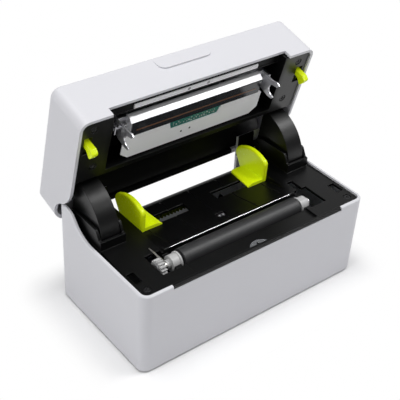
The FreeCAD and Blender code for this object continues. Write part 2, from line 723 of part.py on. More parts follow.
# Platen: shaft, rubber sleeve and gear.
shaft_left = GEAR_X0 - GEAR_GAP / 2
shaft_right = NECK_END + 0.9
save("platen_shaft", rod_x(SHAFT_R, shaft_left, shaft_right, PLATEN_Y, PLATEN_Z))
save("platen_rubber", tube_x(PLATEN_R, SHAFT_R, -PLATEN_HALF, PLATEN_HALF, PLATEN_Y, PLATEN_Z))
idler_at = IDLER_TILT - math.pi / 2
idler_reach = (PLATEN_TEETH + IDLER_SMALL_TEETH) * MODULE / 2
idler_y = PLATEN_Y + idler_reach * math.cos(idler_at)
idler_z = PLATEN_Z + idler_reach * math.sin(idler_at)
motor_at = MOTOR_TILT - math.pi / 2
motor_reach = (IDLER_LARGE_TEETH + MOTOR_TEETH) * MODULE / 2
motor_y = idler_y + motor_reach * math.cos(motor_at)
motor_z = idler_z + motor_reach * math.sin(motor_at)
platen_gear = gear_x(PLATEN_TEETH, GEAR_X0, GEAR_X1, PLATEN_Y, PLATEN_Z, idler_at)
platen_gear = platen_gear.cut(rod_x(SHAFT_R, GEAR_X0 - 1, GEAR_X1 + 1, PLATEN_Y, PLATEN_Z))
save("platen_gear", platen_gear)

# Contact leaf: a strip from the deck that curls over the shaft beside the gear and narrows to its tail.
leaf_x0 = GEAR_X1 + 0.4
leaf_x1 = -NECK_END - 0.2
leaf_in = SHAFT_R + 0.1
leaf_out = leaf_in + LEAF_T
leaf_tail = pocket_rear + 6.0
leaf = side_prism(
    [
        around(165.0, leaf_in, PLATEN_Y, PLATEN_Z),
        (around(125.0, leaf_in, PLATEN_Y, PLATEN_Z), around(85.0, leaf_in, PLATEN_Y, PLATEN_Z)),
        (pocket_rear, DECK_Z),
        (leaf_tail, DECK_Z),
        (leaf_tail, DECK_Z + LEAF_T),
        (pocket_rear - 0.2, DECK_Z + LEAF_T),
        around(85.0, leaf_out, PLATEN_Y, PLATEN_Z),
        (around(125.0, leaf_out, PLATEN_Y, PLATEN_Z), around(165.0, leaf_out, PLATEN_Y, PLATEN_Z)),
    ],
    leaf_x0,
    leaf_x1,
)
leaf_plan = [
    (leaf_x0, PLATEN_Y - PLATEN_R),
    (leaf_x1, PLATEN_Y - PLATEN_R),
    (leaf_x1, PLATEN_Y),
    (leaf_x0 + 1.2, leaf_tail),
    (leaf_x0 + 0.4, leaf_tail),
    (leaf_x0, PLATEN_Y),
]
leaf = leaf.common(plan_prism(leaf_plan, PAN_Z, LID_TOP_Z))
save("ground_spring", leaf)

# Idler: a small gear on the platen's gear and a large one on the motor's, on one hub.
large_x1 = GEAR_X0 - GEAR_GAP
large_x0 = large_x1 - GEAR_W
small_at = idler_at + math.pi + math.pi / IDLER_SMALL_TEETH
idler = gear_x(IDLER_SMALL_TEETH, large_x1, GEAR_X1, idler_y, idler_z, small_at)
idler = idler.fuse(gear_x(IDLER_LARGE_TEETH, large_x0, large_x1, idler_y, idler_z, motor_at))
idler = idler.cut(rod_x(STUD_R + RUNNING, large_x0 - 1, GEAR_X1 + 1, idler_y, idler_z))
save("idler_gear", idler)
pinion_at = motor_at + math.pi + math.pi / MOTOR_TEETH
motor_pinion = gear_x(MOTOR_TEETH, large_x0, large_x1, motor_y, motor_z, pinion_at)
motor_pinion = motor_pinion.cut(rod_x(MOTOR_SHAFT_R, large_x0 - 1, large_x1 + 1, motor_y, motor_z))
save("motor_pinion", motor_pinion)

# Gear bracket: upright sheet with a foot on the pan; it carries the idler's stud and the motor.
plate_top = PLATEN_Z - BUSH_R - 3.6
gear_plate = block(-PLATE_X - PLATE_T, -PLATE_X, plate_y0, plate_y1, PAN_TOP, plate_top)
gear_plate = gear_plate.fuse(block(flange_x0, flange_x1, plate_y0, plate_y1, PAN_TOP, PAN_TOP + PLATE_T))
gear_plate = gear_plate.cut(rod_x(MOTOR_SHAFT_R + 3.0, -PLATE_X - PLATE_T - 1, -PLATE_X + 1, motor_y, motor_z))
gear_plate = gear_plate.cut(rod_x(STUD_R, -PLATE_X - PLATE_T - 1, -PLATE_X + 1, idler_y, idler_z))
for px, py in bracket_holes:
    gear_plate = gear_plate.cut(rod_z(SCREW_R, px, py, PAN_TOP - 1, PAN_TOP + PLATE_T + 1))
save("gear_plate", gear_plate.removeSplitter())
stud = rod_x(STUD_R, large_x0 - 0.4, -PLATE_X, idler_y, idler_z)
stud = stud.fuse(rod_x(STUD_R + 1.2, large_x0 - 1.4, large_x0 - 0.3, idler_y, idler_z)).removeSplitter()
save("idler_stud", stud)
bracket_screws = []
for px, py in bracket_holes:
    top = PAN_TOP + PLATE_T
    screw = rod_z(SCREW_HEAD_R, px, py, top, top + SCREW_HEAD_H)
    screw = screw.fuse(rod_z(SCREW_R, px, py, PAN_Z + 0.2, top))
    bracket_screws.append(screw.removeSplitter())
save("bracket_screws", Part.makeCompound(bracket_screws))

# Motor on the bracket, and its shaft, which turns in the can and carries the pinion.
half = MOTOR_SIDE / 2
motor = block(-PLATE_X, -PLATE_X + MOTOR_LEN, motor_y - half, motor_y + half, motor_z - half, motor_z + half)
motor = motor.makeChamfer(MOTOR_CHAMFER, [e for e in motor.Edges if abs(e.tangentAt(0).x) > 0.999])
motor = motor.fuse(rod_x(MOTOR_SHAFT_R + 2.5, -PLATE_X - PLATE_T, -PLATE_X, motor_y, motor_z)).removeSplitter()
bore_end = -PLATE_X + MOTOR_BORE_DEPTH
motor = motor.cut(rod_x(MOTOR_SHAFT_R + RUNNING, -PLATE_X - PLATE_T - 1, bore_end, motor_y, motor_z))
save("drive_motor", motor)
save("motor_shaft", rod_x(MOTOR_SHAFT_R, large_x0 - 0.5, bore_end - FIT, motor_y, motor_z))

# Media guides: upright plate, flat foot, and a neck through the slot to a rack under the panel.
guide_z = PANEL_Z + GUIDE_LIFT
guide_profile = [
    (GUIDE_Y - 7.7, guide_z),
    (GUIDE_Y - 8.2, guide_z + 15.5),
    ((GUIDE_Y - 7.0, guide_z + 18.3), (GUIDE_Y - 4.3, guide_z + 19.8)),
    ((GUIDE_Y + 10.0, guide_z + 22.5), (GUIDE_Y + 22.5, guide_z + 18.5)),
    ((GUIDE_Y + 27.3, guide_z + 14.5), (GUIDE_Y + 27.8, guide_z + 9.5)),
    (GUIDE_Y + 22.0, guide_z),
]
rack_z1 = PANEL_UNDER - 0.3
rack_z0 = rack_z1 - RACK_T
guide_reach = GUIDE_TEETH * GUIDE_MODULE / 2
rack_end = guide_reach + 0.5
neck_x0 = -GUIDE_X
neck_x1 = -GUIDE_X + NECK_W
neck_half = GUIDE_SLOT_HALF - FIT
foot_y0 = GUIDE_Y - 7.6
foot_y1 = GUIDE_Y + 17.1
foot_x1 = -GUIDE_X + GUIDE_FOOT_LEN


def rack(side):
    """Toothed bar along X; side is -1 in front of the pinion and +1 behind it."""
    line = GUIDE_Y + side * guide_reach
    root = line + side * 1.05 * GUIDE_MODULE
    tip = line - side * 0.8 * GUIDE_MODULE
    pitch = math.pi * GUIDE_MODULE
    at_root = pitch / 4 - BACKLASH / 2 + 1.05 * GUIDE_MODULE * math.tan(PRESSURE)
    at_tip = pitch / 4 - BACKLASH / 2 - 0.8 * GUIDE_MODULE * math.tan(PRESSURE)
    bar_x0 = neck_x0
    first = math.ceil((neck_x1 + 1.5) / pitch - 0.5)
    points = [(bar_x0, root + side * RACK_BACK), (bar_x0, root)]
    k = first
    while (k + 0.5) * pitch + at_root < rack_end:
        c = (k + 0.5) * pitch
        points += [(c - at_root, root), (c - at_tip, tip), (c + at_tip, tip), (c + at_root, root)]
        k += 1
    points += [(rack_end, root), (rack_end, root + side * RACK_BACK)]
    bar = plan_prism(points, rack_z0, rack_z1)
    link_y = sorted((GUIDE_Y + side * (neck_half - 2.0), root + side * 0.5))
    return bar.fuse(block(neck_x0, neck_x1, link_y[0], link_y[1], rack_z0, rack_z1))


def guide(side):
    """The left guide; side tells which rack it carries."""
    plate = side_prism(guide_profile, -GUIDE_X - GUIDE_T, -GUIDE_X)
    plate = plate.makeFillet(GUIDE_EDGE_R, [e for e in plate.Edges if e.BoundBox.ZMax > guide_z + 0.01])
    foot = plan_prism(
        [
            (-GUIDE_X - 0.5, foot_y0),
            (foot_x1, foot_y0),
            (foot_x1 - 2.6, foot_y1),
            (-GUIDE_X - 0.5, foot_y1),
        ],
        guide_z,
        guide_z + GUIDE_FOOT_T,
    )
    slope = Part.Face(
        outline(
            [
                V(foot_x1 - 4.5, foot_y0 - 1, guide_z + GUIDE_FOOT_T + 0.01),
                V(foot_x1 + 1, foot_y0 - 1, guide_z + 0.5),
                V(foot_x1 + 1, foot_y0 - 1, guide_z + GUIDE_FOOT_T + 1),
                V(foot_x1 - 4.5, foot_y0 - 1, guide_z + GUIDE_FOOT_T + 1),
            ]
        )
    ).extrude(V(0, foot_y1 - foot_y0 + 2, 0))
    foot = foot.cut(slope)
    neck = block(neck_x0, neck_x1, GUIDE_Y - neck_half, GUIDE_Y + neck_half, rack_z0, guide_z + 1)
    return fused([plate, foot, neck, rack(side)])


save("guide_left", guide(1))
save("guide_right", mirrored(guide(-1)))
pinion_points = gear_outline(
    GUIDE_TEETH, GUIDE_MODULE, -math.pi / 2, lambda u, w: V(u, GUIDE_Y + w, rack_z0)
)
guide_pinion = Part.Face(outline(pinion_points)).extrude(V(0, 0, RACK_T))
guide_pinion = guide_pinion.cut(rod_z(STUD_R + RUNNING, 0, GUIDE_Y, rack_z0 - 1, rack_z1 + 1))
save("guide_pinion", guide_pinion)
clip = rod_z(STUD_R + 2.0, 0, GUIDE_Y, rack_z0 - 1.5, rack_z0 - 0.3).cut(
    rod_z(STUD_R, 0, GUIDE_Y, rack_z0 - 3, rack_z0 + 1)
)
save("pinion_clip", clip)

# Main board on the pan's standoffs, with its parts, sockets and screws.
board = block(board_x0, board_x1, board_y0, board_y1, BOARD_Z, BOARD_Z + BOARD_T)
for px, py in standoffs:
    board = board.cut(rod_z(SCREW_R, px, py, BOARD_Z - 1, BOARD_Z + 3))
save("main_board", board)
board_screws = []
for px, py in standoffs:
    top = BOARD_Z + BOARD_T
    screw = rod_z(SCREW_HEAD_R, px, py, top, top + SCREW_HEAD_H)
    screw = screw.fuse(rod_z(SCREW_R, px, py, BOARD_Z - 5, top))
    board_screws.append(screw.removeSplitter())
save("board_screws", Part.makeCompound(board_screws))
board_parts = [
    block(-6.0, 10.0, board_y0 + 12.0, board_y0 + 28.0, usb_z, usb_z + 1.6),
    block(20.0, 31.0, board_y0 + 16.0, board_y0 + 24.0, usb_z, usb_z + 1.4),
    block(-24.0, -4.0, board_y0 + 38.0, board_y0 + 44.0, usb_z, usb_z + 7.0),
    rod_z(5.0, 42.0, board_y0 + 20.0, usb_z, usb_z + 14.0),
    rod_z(5.0, 42.0, board_y0 + 34.0, usb_z, usb_z + 14.0),
]
save("board_components", Part.makeCompound(board_parts))
usb_back = BACK_Y - 0.6
usb = block(usb_x0, usb_x1, usb_back - 16.0, usb_back, usb_z, usb_top)
usb = usb.cut(block(usb_x0 + 1, usb_x1 - 1, usb_back - 12.0, usb_back + 1, usb_z + 1, usb_top - 1))
usb_tongue = block(USB_X - 2.8, USB_X + 2.8, usb_back - 13.0, usb_back - 2.0, usb_z + 1.0, usb_z + 2.6)
usb = usb.fuse(usb_tongue).removeSplitter()
save("usb_port", usb)
jack = block(JACK_X - JACK_W / 2, JACK_X + JACK_W / 2, usb_back - 14.0, usb_back - 3.0, usb_z, usb_z + JACK_W)
jack = jack.fuse(Part.makeCylinder(JACK_W / 2, 4, V(JACK_X, usb_back - 4, jack_z), V(0, 1, 0)))
jack = jack.cut(Part.makeCylinder(3.2, 10, V(JACK_X, usb_back - 9, jack_z), V(0, 1, 0)))
jack_pin = Part.makeCylinder(1.1, 8.5, V(JACK_X, usb_back - 9.5, jack_z), V(0, 1, 0))
jack = jack.fuse(jack_pin).removeSplitter()
save("dc_jack", jack)

# Power switch: housing pushed through the back wall, with a rocker on a cross pin.
sw_x0 = SWITCH_X - SWITCH_W / 2
sw_x1 = SWITCH_X + SWITCH_W / 2
sw_z0 = SWITCH_Z - SWITCH_H / 2
sw_z1 = SWITCH_Z + SWITCH_H / 2
rocker_y = BACK_Y - 1.5
housing = block(sw_x0, sw_x1, BACK_Y - SWITCH_DEPTH, BACK_Y, sw_z0, sw_z1)
housing = housing.fuse(block(sw_x0 - 1.2, sw_x1 + 1.2, BACK_Y, BACK_Y + 1.2, sw_z0 - 1.2, sw_z1 + 1.2))
housing = housing.cut(block(sw_x0 + 1.5, sw_x1 - 1.5, BACK_Y - 9.0, BACK_Y + 2, sw_z0 + 1.2, sw_z1 - 1.2))
housing = housing.fuse(rod_x(1.0, sw_x0 + 1.0, sw_x1 - 1.0, rocker_y, SWITCH_Z)).removeSplitter()
save("switch_housing", housing)
rocker_half = SWITCH_H / 2 - 2.2
rocker = side_prism(
    [
        (rocker_y - 3.0, SWITCH_Z - 2.5),
        (rocker_y + 1.8, SWITCH_Z - rocker_half),
        (rocker_y + 4.2, SWITCH_Z - rocker_half + 0.2),
        ((rocker_y + 2.7, SWITCH_Z), (rocker_y + 4.2, SWITCH_Z + rocker_half - 0.2)),
        (rocker_y + 1.8, SWITCH_Z + rocker_half),
        (rocker_y - 3.0, SWITCH_Z + 2.5),
    ],
    sw_x0 + 1.8,
    sw_x1 - 1.8,
)
rocker = rocker.cut(rod_x(1.0 + RUNNING, sw_x0, sw_x1, rocker_y, SWITCH_Z))
rocker.rotate(V(0, rocker_y, SWITCH_Z), X_AXIS, 6.0)
save("power_rocker", rocker)

# Lid shell: rounded cover with a raised finger tongue, a front recess and posts for the liner.
liner_posts = [(CASE_W / 2 - 13.0, FRONT_Y + 10.8), (CASE_W / 2 - 16.5, PLATEN_Y + 21.2)]
lid_shell = rounded_block(CASE_W, CASE_D, CORNER_R, RIM_Z - 1, LID_TOP_Z)
top_edges = [e for e in lid_shell.Edges if abs(e.BoundBox.ZMin - LID_TOP_Z) < 1e-6]
lid_shell = lid_shell.makeFillet(LID_EDGE_R, top_edges)
tongue_z = LID_TOP_Z - TONGUE_H
tongue_top = LID_TOP_Z - LID_EDGE_R
tongue_in = TONGUE_R * (1 - math.sqrt(0.5))
tongue_y = FRONT_Y + 1
tongue_face = Part.Face(
    outline(
        [
            V(-TONGUE_HALF, tongue_y, tongue_top),
            V(-TONGUE_HALF, tongue_y, tongue_z + TONGUE_R),
            (
                V(-TONGUE_HALF + tongue_in, tongue_y, tongue_z + tongue_in),
                V(-TONGUE_HALF + TONGUE_R, tongue_y, tongue_z),
            ),
            V(TONGUE_HALF - TONGUE_R, tongue_y, tongue_z),
            (
                V(TONGUE_HALF - tongue_in, tongue_y, tongue_z + tongue_in),
                V(TONGUE_HALF, tongue_y, tongue_z + TONGUE_R),
            ),
            V(TONGUE_HALF, tongue_y, tongue_top),
        ]
    )
)
tongue = tongue_face.extrude(V(0, -1 - TONGUE_PROUD, 0))
tongue = tongue.common(
    side_prism(
        [
            (FRONT_Y + 1, tongue_z - 1),
            (FRONT_Y - TONGUE_PROUD, tongue_z),
            (FRONT_Y, tongue_top),
            (FRONT_Y + 1, tongue_top),
        ],
        -TONGUE_HALF - 1,
        TONGUE_HALF + 1,
    )
)
lid_shell = lid_shell.fuse(tongue)
lid_shell = lid_shell.cut(rounded_block(CASE_IN_W, CASE_IN_D, CORNER_R - WALL, RIM_Z - 2, LID_TOP_Z - WALL))
lid_shell = lid_shell.cut(under_rim(SEAM))
lid_shell = lid_shell.cut(
    block(-LID_RECESS_HALF, LID_RECESS_HALF, FRONT_Y - 3, FRONT_Y + WALL + 1, 0, RIM_Z + LID_RECESS_H)
)
lid_parts = [lid_shell]
for px, py in liner_posts:
    lid_parts += both_sides(rod_z(POST_R, px, py, LINER_TOP, LID_TOP_Z - 1))
roof = LID_TOP_Z - WALL
button_posts = [(BUTTON_X - 11, BUTTON_Y), (BUTTON_X + 11, BUTTON_Y)]
button_board_z = roof - 9.0
for px, py in button_posts:
    lid_parts.append(rod_z(2.5, px, py, button_board_z, LID_TOP_Z - 1))
lid_shell = fused(lid_parts)
for px, py in liner_posts:
    for hole in both_sides(rod_z(SCREW_R, px, py, LINER_TOP - 1, LINER_TOP + 12)):
        lid_shell = lid_shell.cut(hole)
lid_shell = lid_shell.cut(rod_z(BUTTON_R + BUTTON_GAP, BUTTON_X, BUTTON_Y, roof - 1, LID_TOP_Z + 1))
light_x = BUTTON_X + 7.6
light_y = BUTTON_Y - 6.0
lid_shell = lid_shell.cut(rod_z(1.5, light_x, light_y, roof - 1, LID_TOP_Z + 1))
save("lid_shell", lid_shell, True)

# Lid liner: plate with the head's bay, front ledge, latch slots, rear trough and the two cheek drums.
liner_half = CASE_IN_W / 2 - FIT
liner_front = FRONT_Y + WALL + FIT
bay_y0 = PLATEN_Y - HEAD_BAY_FRONT
bay_y1 = PLATEN_Y + HEAD_BAY_REAR
liner = block(-liner_half, liner_half, liner_front, LINER_REAR_Y, LINER_Z, LINER_TOP)
front_corners = [e for e in upright_edges(liner) if e.CenterOfMass.y < 0]
liner = liner.makeFillet(CORNER_R - WALL - FIT, front_corners)
liner = liner.cut(block(-HEAD_BAY_HALF, HEAD_BAY_HALF, liner_front - 1, bay_y1, 0, LID_TOP_Z))
bay_roof_z = SINK_TOP + SPRING_H + BRIDGE_T
bay_out = HEAD_BAY_HALF + BAY_T
bay_in = HEAD_BAY_HALF + 1
bay_top = bay_roof_z + BAY_T
bay_side = block(HEAD_BAY_HALF, bay_out, bay_y0 - BAY_T, bay_y1 + BAY_T, LINER_Z, bay_top)
ledge_side = block(HEAD_BAY_HALF, bay_out, liner_front, bay_y0, LINER_Z, LEDGE_Z + LINER_T)
bay_rear = block(-bay_in, bay_in, bay_y1, bay_y1 + BAY_T, LINER_Z, bay_top)
bay_roof = block(-bay_in, bay_in, bay_y0 - BAY_T, bay_y1 + 1, bay_roof_z, bay_top)
bay_front = block(-bay_in, bay_in, bay_y0 - BAY_T, bay_y0, LEDGE_Z, bay_roof_z + 1)
ledge = block(-bay_in, bay_in, liner_front, bay_y0, LEDGE_Z, LEDGE_Z + LINER_T)
ledge_back = block(-bay_in, bay_in, bay_y0 - BAY_T, bay_y0, LEDGE_Z - 0.6, LEDGE_Z + 1)
trough_a = (LINER_REAR_Y - 1.0, LINER_TOP - 0.6)
trough_b = (TROUGH_TOP_Y, RIM_Z + TROUGH_TOP_RISE)
trough_c = (BACK_Y - WALL - 0.8, RIM_Z + TROUGH_BACK_RISE)
arc = Part.Arc(V(0, *trough_a), V(0, *trough_b), V(0, *trough_c)).toShape().Curve
centre = arc.Center
grow = (arc.Radius + LINER_T) / arc.Radius


def trough_outer(p):
    return (centre.y + (p[0] - centre.y) * grow, centre.z + (p[1] - centre.z) * grow)


trough_half = liner_half - (CORNER_R - WALL)
trough_end = (trough_c[0], trough_c[1] + LINER_T * 1.3)
trough_mid = trough_outer(trough_b)
trough_start = trough_outer(trough_a)
trough = side_prism(
    [trough_a, (trough_b, trough_c), trough_end, (trough_mid, trough_start)],
    -trough_half,
    trough_half,
)
drum_top = around(DRUM_FROM, DRUM_R, HINGE_Y, HINGE_Z)
roof_z = drum_top[1] - DRUM_T
riser = block(DRUM_X0, DRUM_X1, LINER_REAR_Y - LINER_T, LINER_REAR_Y, LINER_Z, drum_top[1])
drum_roof_front = min(LINER_REAR_Y, drum_top[0]) - LINER_T
drum_roof = block(DRUM_X0, DRUM_X1, drum_roof_front, drum_top[0] + 2.0, roof_z, drum_top[1])
half_turn = (DRUM_FROM + DRUM_TO) / 2
drum_skin = side_prism(
    [
        around(DRUM_FROM, DRUM_R - DRUM_T, HINGE_Y, HINGE_Z),
        around(DRUM_FROM, DRUM_R, HINGE_Y, HINGE_Z),
        (around(half_turn, DRUM_R, HINGE_Y, HINGE_Z), around(DRUM_TO, DRUM_R, HINGE_Y, HINGE_Z)),
        around(DRUM_TO, DRUM_R - DRUM_T, HINGE_Y, HINGE_Z),
        (
            around(half_turn, DRUM_R - DRUM_T, HINGE_Y, HINGE_Z),
            around(DRUM_FROM, DRUM_R - DRUM_T, HINGE_Y, HINGE_Z),
        ),
    ],
    DRUM_X0,
    DRUM_X1,
)
cheek_profile = [
    around(90.0, 4.0, HINGE_Y, HINGE_Z),
    drum_top,
    (around(half_turn, DRUM_R, HINGE_Y, HINGE_Z), around(DRUM_TO, DRUM_R, HINGE_Y, HINGE_Z)),
    around(0.0, 4.0, HINGE_Y, HINGE_Z),
]
cheek_in = side_prism(cheek_profile, DRUM_X0, DRUM_X0 + DRUM_T)
cheek_out = side_prism(cheek_profile, DRUM_X1 - DRUM_T, DRUM_X1)
hub = rod_x(HINGE_PIN_R + 3.2, DRUM_X0, DRUM_X1, HINGE_Y, HINGE_Z)
latch_y = PLATEN_Y - 5.0
latch_z = RIM_Z + 13.1
ear_profile = [
    (latch_y - 4.0, LINER_TOP - 1),
    (latch_y - 4.0, latch_z),
    ((latch_y, latch_z + 4.0), (latch_y + 4.0, latch_z)),
    (latch_y + 4.0, LINER_TOP - 1),
]
ear_in = side_prism(ear_profile, LATCH_X0 - LATCH_GAP - 1.8, LATCH_X0 - LATCH_GAP)
ear_out = side_prism(ear_profile, LATCH_X1 + LATCH_GAP, LATCH_X1 + LATCH_GAP + 1.6)
liner_parts = [liner, ledge, ledge_back, bay_rear, bay_roof, bay_front, trough]
for piece in (ledge_side, bay_side, riser, drum_roof, drum_skin, cheek_in, cheek_out, hub, ear_in, ear_out):
    liner_parts += both_sides(piece)
liner = fused(liner_parts)
latch_slot = block(
    LATCH_X0 - LATCH_GAP, LATCH_X1 + LATCH_GAP, LATCH_Y0 - 1.6, LATCH_Y1 + 2.4, LINER_Z - 1, LINER_TOP + 1
)
latch_bore = rod_x(LATCH_PIN_R, LATCH_X0 - 4, LATCH_X1 + 4, latch_y, latch_z)
hub_bore = rod_x(HINGE_PIN_R + RUNNING, DRUM_X0 - 1, DRUM_X1 + 1, HINGE_Y, HINGE_Z)
liner_cuts = both_sides(latch_slot) + both_sides(latch_bore) + both_sides(hub_bore)
for px, py in liner_posts:
    liner_cuts += both_sides(rod_z(SCREW_R, px, py, LINER_Z - 1, LINER_TOP + 1))
    liner_cuts += both_sides(rod_z(SCREW_HEAD_R + 0.3, px, py, LINER_Z - 1, LINER_Z + SCREW_HEAD_H + 0.2))
tear_y1 = bay_y0 - BAY_T
tear_y0 = tear_y1 - TEAR_DEPTH
tear_holes = [(-TEAR_HOLE_X, (tear_y0 + tear_y1) / 2), (TEAR_HOLE_X, (tear_y0 + tear_y1) / 2)]
for px, py in tear_holes:
    liner_cuts.append(rod_z(SCREW_R, px, py, LEDGE_Z - 1, LEDGE_Z + LINER_T + 1))
for piece in liner_cuts:
    liner = liner.cut(piece)
save("lid_liner", liner, True)

# Liner screws, up into the lid's posts.
liner_screws = []
for px, py in liner_posts:
    seat_z = LINER_Z + SCREW_HEAD_H + 0.2
    screw = rod_z(SCREW_HEAD_R, px, py, seat_z - SCREW_HEAD_H, seat_z)
    screw = screw.fuse(rod_z(SCREW_R, px, py, seat_z, seat_z + 9))
    liner_screws += both_sides(screw.removeSplitter())
save("liner_screws", Part.makeCompound(liner_screws), True)

# Tear bar: bright strip under the ledge, held by two screws.
tear_bar = block(-TEAR_HALF, TEAR_HALF, tear_y0, tear_y1, LEDGE_Z - TEAR_T, LEDGE_Z)
tear_edge = []
for e in tear_bar.Edges:
    low_front = e.CenterOfMass.y < tear_y0 + 1e-6 and e.CenterOfMass.z < LEDGE_Z - TEAR_T + 1e-6
    if low_front and e.Length > TEAR_HALF:
        tear_edge.append(e)
tear_bar = tear_bar.makeChamfer(TEAR_CHAMFER, tear_edge)
for px, py in tear_holes:
    tear_bar = tear_bar.cut(rod_z(SCREW_R, px, py, LEDGE_Z - 3, LEDGE_Z + 1))
save("tear_bar", tear_bar, True)
tear_screws = []
for px, py in tear_holes:
    screw = rod_z(SCREW_R, px, py, LEDGE_Z - TEAR_T + 0.3, LEDGE_Z + LINER_T)
    screw = screw.fuse(rod_z(TEAR_HEAD_R, px, py, LEDGE_Z + LINER_T, LEDGE_Z + LINER_T + SCREW_HEAD_H))
    tear_screws.append(screw.removeSplitter())
save("tear_screws", Part.makeCompound(tear_screws), True)

# Pressure bracket over the head: bridge under the bay's roof, with slotted arms that keep the head's pins.
bridge_z = SINK_TOP + SPRING_H
pin_z = SINK_Z + 5.4
pin_y = PLATEN_Y - 2.0
arm_end = ARM_X + ARM_T
bridge = block(-arm_end, arm_end, PLATEN_Y - 8, PLATEN_Y + 12, bridge_z, bridge_z + BRIDGE_T)
arm = block(ARM_X, arm_end, PLATEN_Y - 6, PLATEN_Y + 2, pin_z - 2.8, bridge_z + 0.5)
slot_r = HEAD_PIN_R + SLOT_GAP
slot = block(ARM_X - 1, arm_end + 1, pin_y - slot_r, pin_y + slot_r, pin_z, pin_z + HEAD_TRAVEL + 0.2)
slot = slot.fuse(rod_x(slot_r, ARM_X - 1, ARM_X + ARM_T + 1, pin_y, pin_z))
slot = slot.fuse(rod_x(slot_r, ARM_X - 1, ARM_X + ARM_T + 1, pin_y, pin_z + HEAD_TRAVEL + 0.2))
bracket = fused([bridge] + both_sides(arm))
for piece in both_sides(slot):
    bracket = bracket.cut(piece)
save("pressure_bracket", bracket, True)

# Head springs: two coils' outlines between the heat sink and the bridge.
springs = []
for sx in (-SPRING_X, SPRING_X):
    spring = rod_z(SPRING_R, sx, PLATEN_Y, SINK_TOP, bridge_z)
    springs.append(spring.cut(rod_z(SPRING_R - SPRING_WIRE, sx, PLATEN_Y, SINK_TOP - 1, bridge_z + 1)))
save("head_springs", Part.makeCompound(springs), True)

# Print head: heat sink with a bright front bevel, ceramic with its heater line, sheet plate and board behind.
sink_front = PLATEN_Y - 10.2
ceramic_y0 = PLATEN_Y - 7.5
ceramic_y1 = PLATEN_Y + 5.0
sink_rear = PLATEN_Y + 12.0
sink = side_prism(
    [
        (ceramic_y0, HEATER_Z + 0.4),
        (sink_front, HEATER_Z + 4.2),
        (sink_front, SINK_TOP),
        (sink_rear, SINK_TOP),
        (sink_rear, SINK_Z + 2.6),
        (ceramic_y1, SINK_Z + 2.6),
        (ceramic_y1, SINK_Z),
        (ceramic_y0, SINK_Z),
    ],
    -HEAD_HALF,
    HEAD_HALF,
)
for piece in both_sides(rod_x(HEAD_PIN_R, HEAD_HALF - 6, HEAD_HALF + 1, pin_y, pin_z)):
    sink = sink.cut(piece)
save("head_heatsink", sink, True)
ceramic = block(-HEAD_HALF + 1, HEAD_HALF - 1, ceramic_y0, ceramic_y1, HEATER_Z, SINK_Z)
save("head_ceramic", ceramic, True)
glaze_half = PLATEN_HALF - 0.6
glaze = block(-glaze_half, glaze_half, PLATEN_Y - 0.6, PLATEN_Y + 0.6, HEATER_Z - GLAZE_T, HEATER_Z)
save("heater_line", glaze, True)
strip_y0 = ceramic_y1 + 0.4
strip_y1 = PLATEN_Y + 24.0
board_half = HEAD_HALF - HEAD_BOARD_INSET
head_board = block(-board_half, board_half, strip_y0, strip_y1, SINK_Z + 1.0, SINK_Z + 1.0 + BOARD_T)
save("head_board", head_board, True)
plate_front = PLATEN_Y + 5.4
plate_rear = PLATEN_Y + 28.0
plate_z1 = SINK_Z + 1.0
plate_z0 = plate_z1 - HEAD_PLATE_T
head_plate = plan_prism(
    [
        (-PLATE_HALF, plate_front + 2.0),
        (-PLATE_HALF + 2.0, plate_front),
        (PLATE_HALF - 2.0, plate_front),
        (PLATE_HALF, plate_front + 2.0),
        (PLATE_HALF, plate_rear - 5.3),
        (PLATE_HALF - 6.6, plate_rear),
        (-PLATE_HALF + 6.6, plate_rear),
        (-PLATE_HALF, plate_rear - 5.3),
    ],
    plate_z0,
    plate_z1,
)
window_y0 = PLATEN_Y + 7.5
window_y1 = PLATEN_Y + 13.5
window = plan_prism(
    [
        (-WINDOW_HALF, window_y0),
        (WINDOW_HALF, window_y0),
        (WINDOW_HALF - 2.0, window_y1),
        (-WINDOW_HALF + 2.0, window_y1),
    ],
    plate_z0 - 1,
    plate_z1 + 1,
)
lug = block(HEAD_HALF - 2, HEAD_HALF, plate_front + 2.0, sink_rear - 1, plate_z1 - 0.4, SINK_Z + 2.6)
head_plate = fused([head_plate.cut(window)] + both_sides(lug))
save("head_plate", head_plate, True)
connector = block(-16.0, 16.0, strip_y1 - 7.0, strip_y1 - 1.0, SINK_Z + 1.0 + BOARD_T, SINK_Z + 6.0 + BOARD_T)
save("head_connector", connector, True)

# Forked arms: flange on the heat sink, plate beside it, two prongs that straddle the bushing's neck.
prong_profile = [
    (PLATEN_Y - 8.0, SINK_TOP + FORK_T),
    (PLATEN_Y - 8.0, PLATEN_Z + 4.0),
    (PLATEN_Y - 9.6, PLATEN_Z - 1.0),
    (PLATEN_Y - 8.5, PLATEN_Z - 4.0),
    (PLATEN_Y - 5.6, PLATEN_Z - 2.0),
    (PLATEN_Y - FORK_NOTCH_HALF, PLATEN_Z + 1.0),
    ((PLATEN_Y, PLATEN_Z + 1.0 + FORK_NOTCH_HALF), (PLATEN_Y + FORK_NOTCH_HALF, PLATEN_Z + 1.0)),
    (PLATEN_Y + 5.0, PLATEN_Z - 1.6),
    (PLATEN_Y + 7.4, PLATEN_Z - 0.4),
    (PLATEN_Y + 8.0, PLATEN_Z + 4.0),
    (PLATEN_Y + 6.0, SINK_TOP + FORK_T),
]
fork = side_prism(prong_profile, FORK_X, FORK_X + FORK_T)
fork = fork.fuse(block(HEAD_HALF - 7, FORK_X + 0.5, PLATEN_Y - 8, PLATEN_Y + 6, SINK_TOP, SINK_TOP + FORK_T))
fork = fork.cut(rod_x(HEAD_PIN_R, FORK_X - 1, FORK_X + FORK_T + 1, pin_y, pin_z)).removeSplitter()
save("fork_right", fork, True)
save("fork_left", mirrored(fork), True)
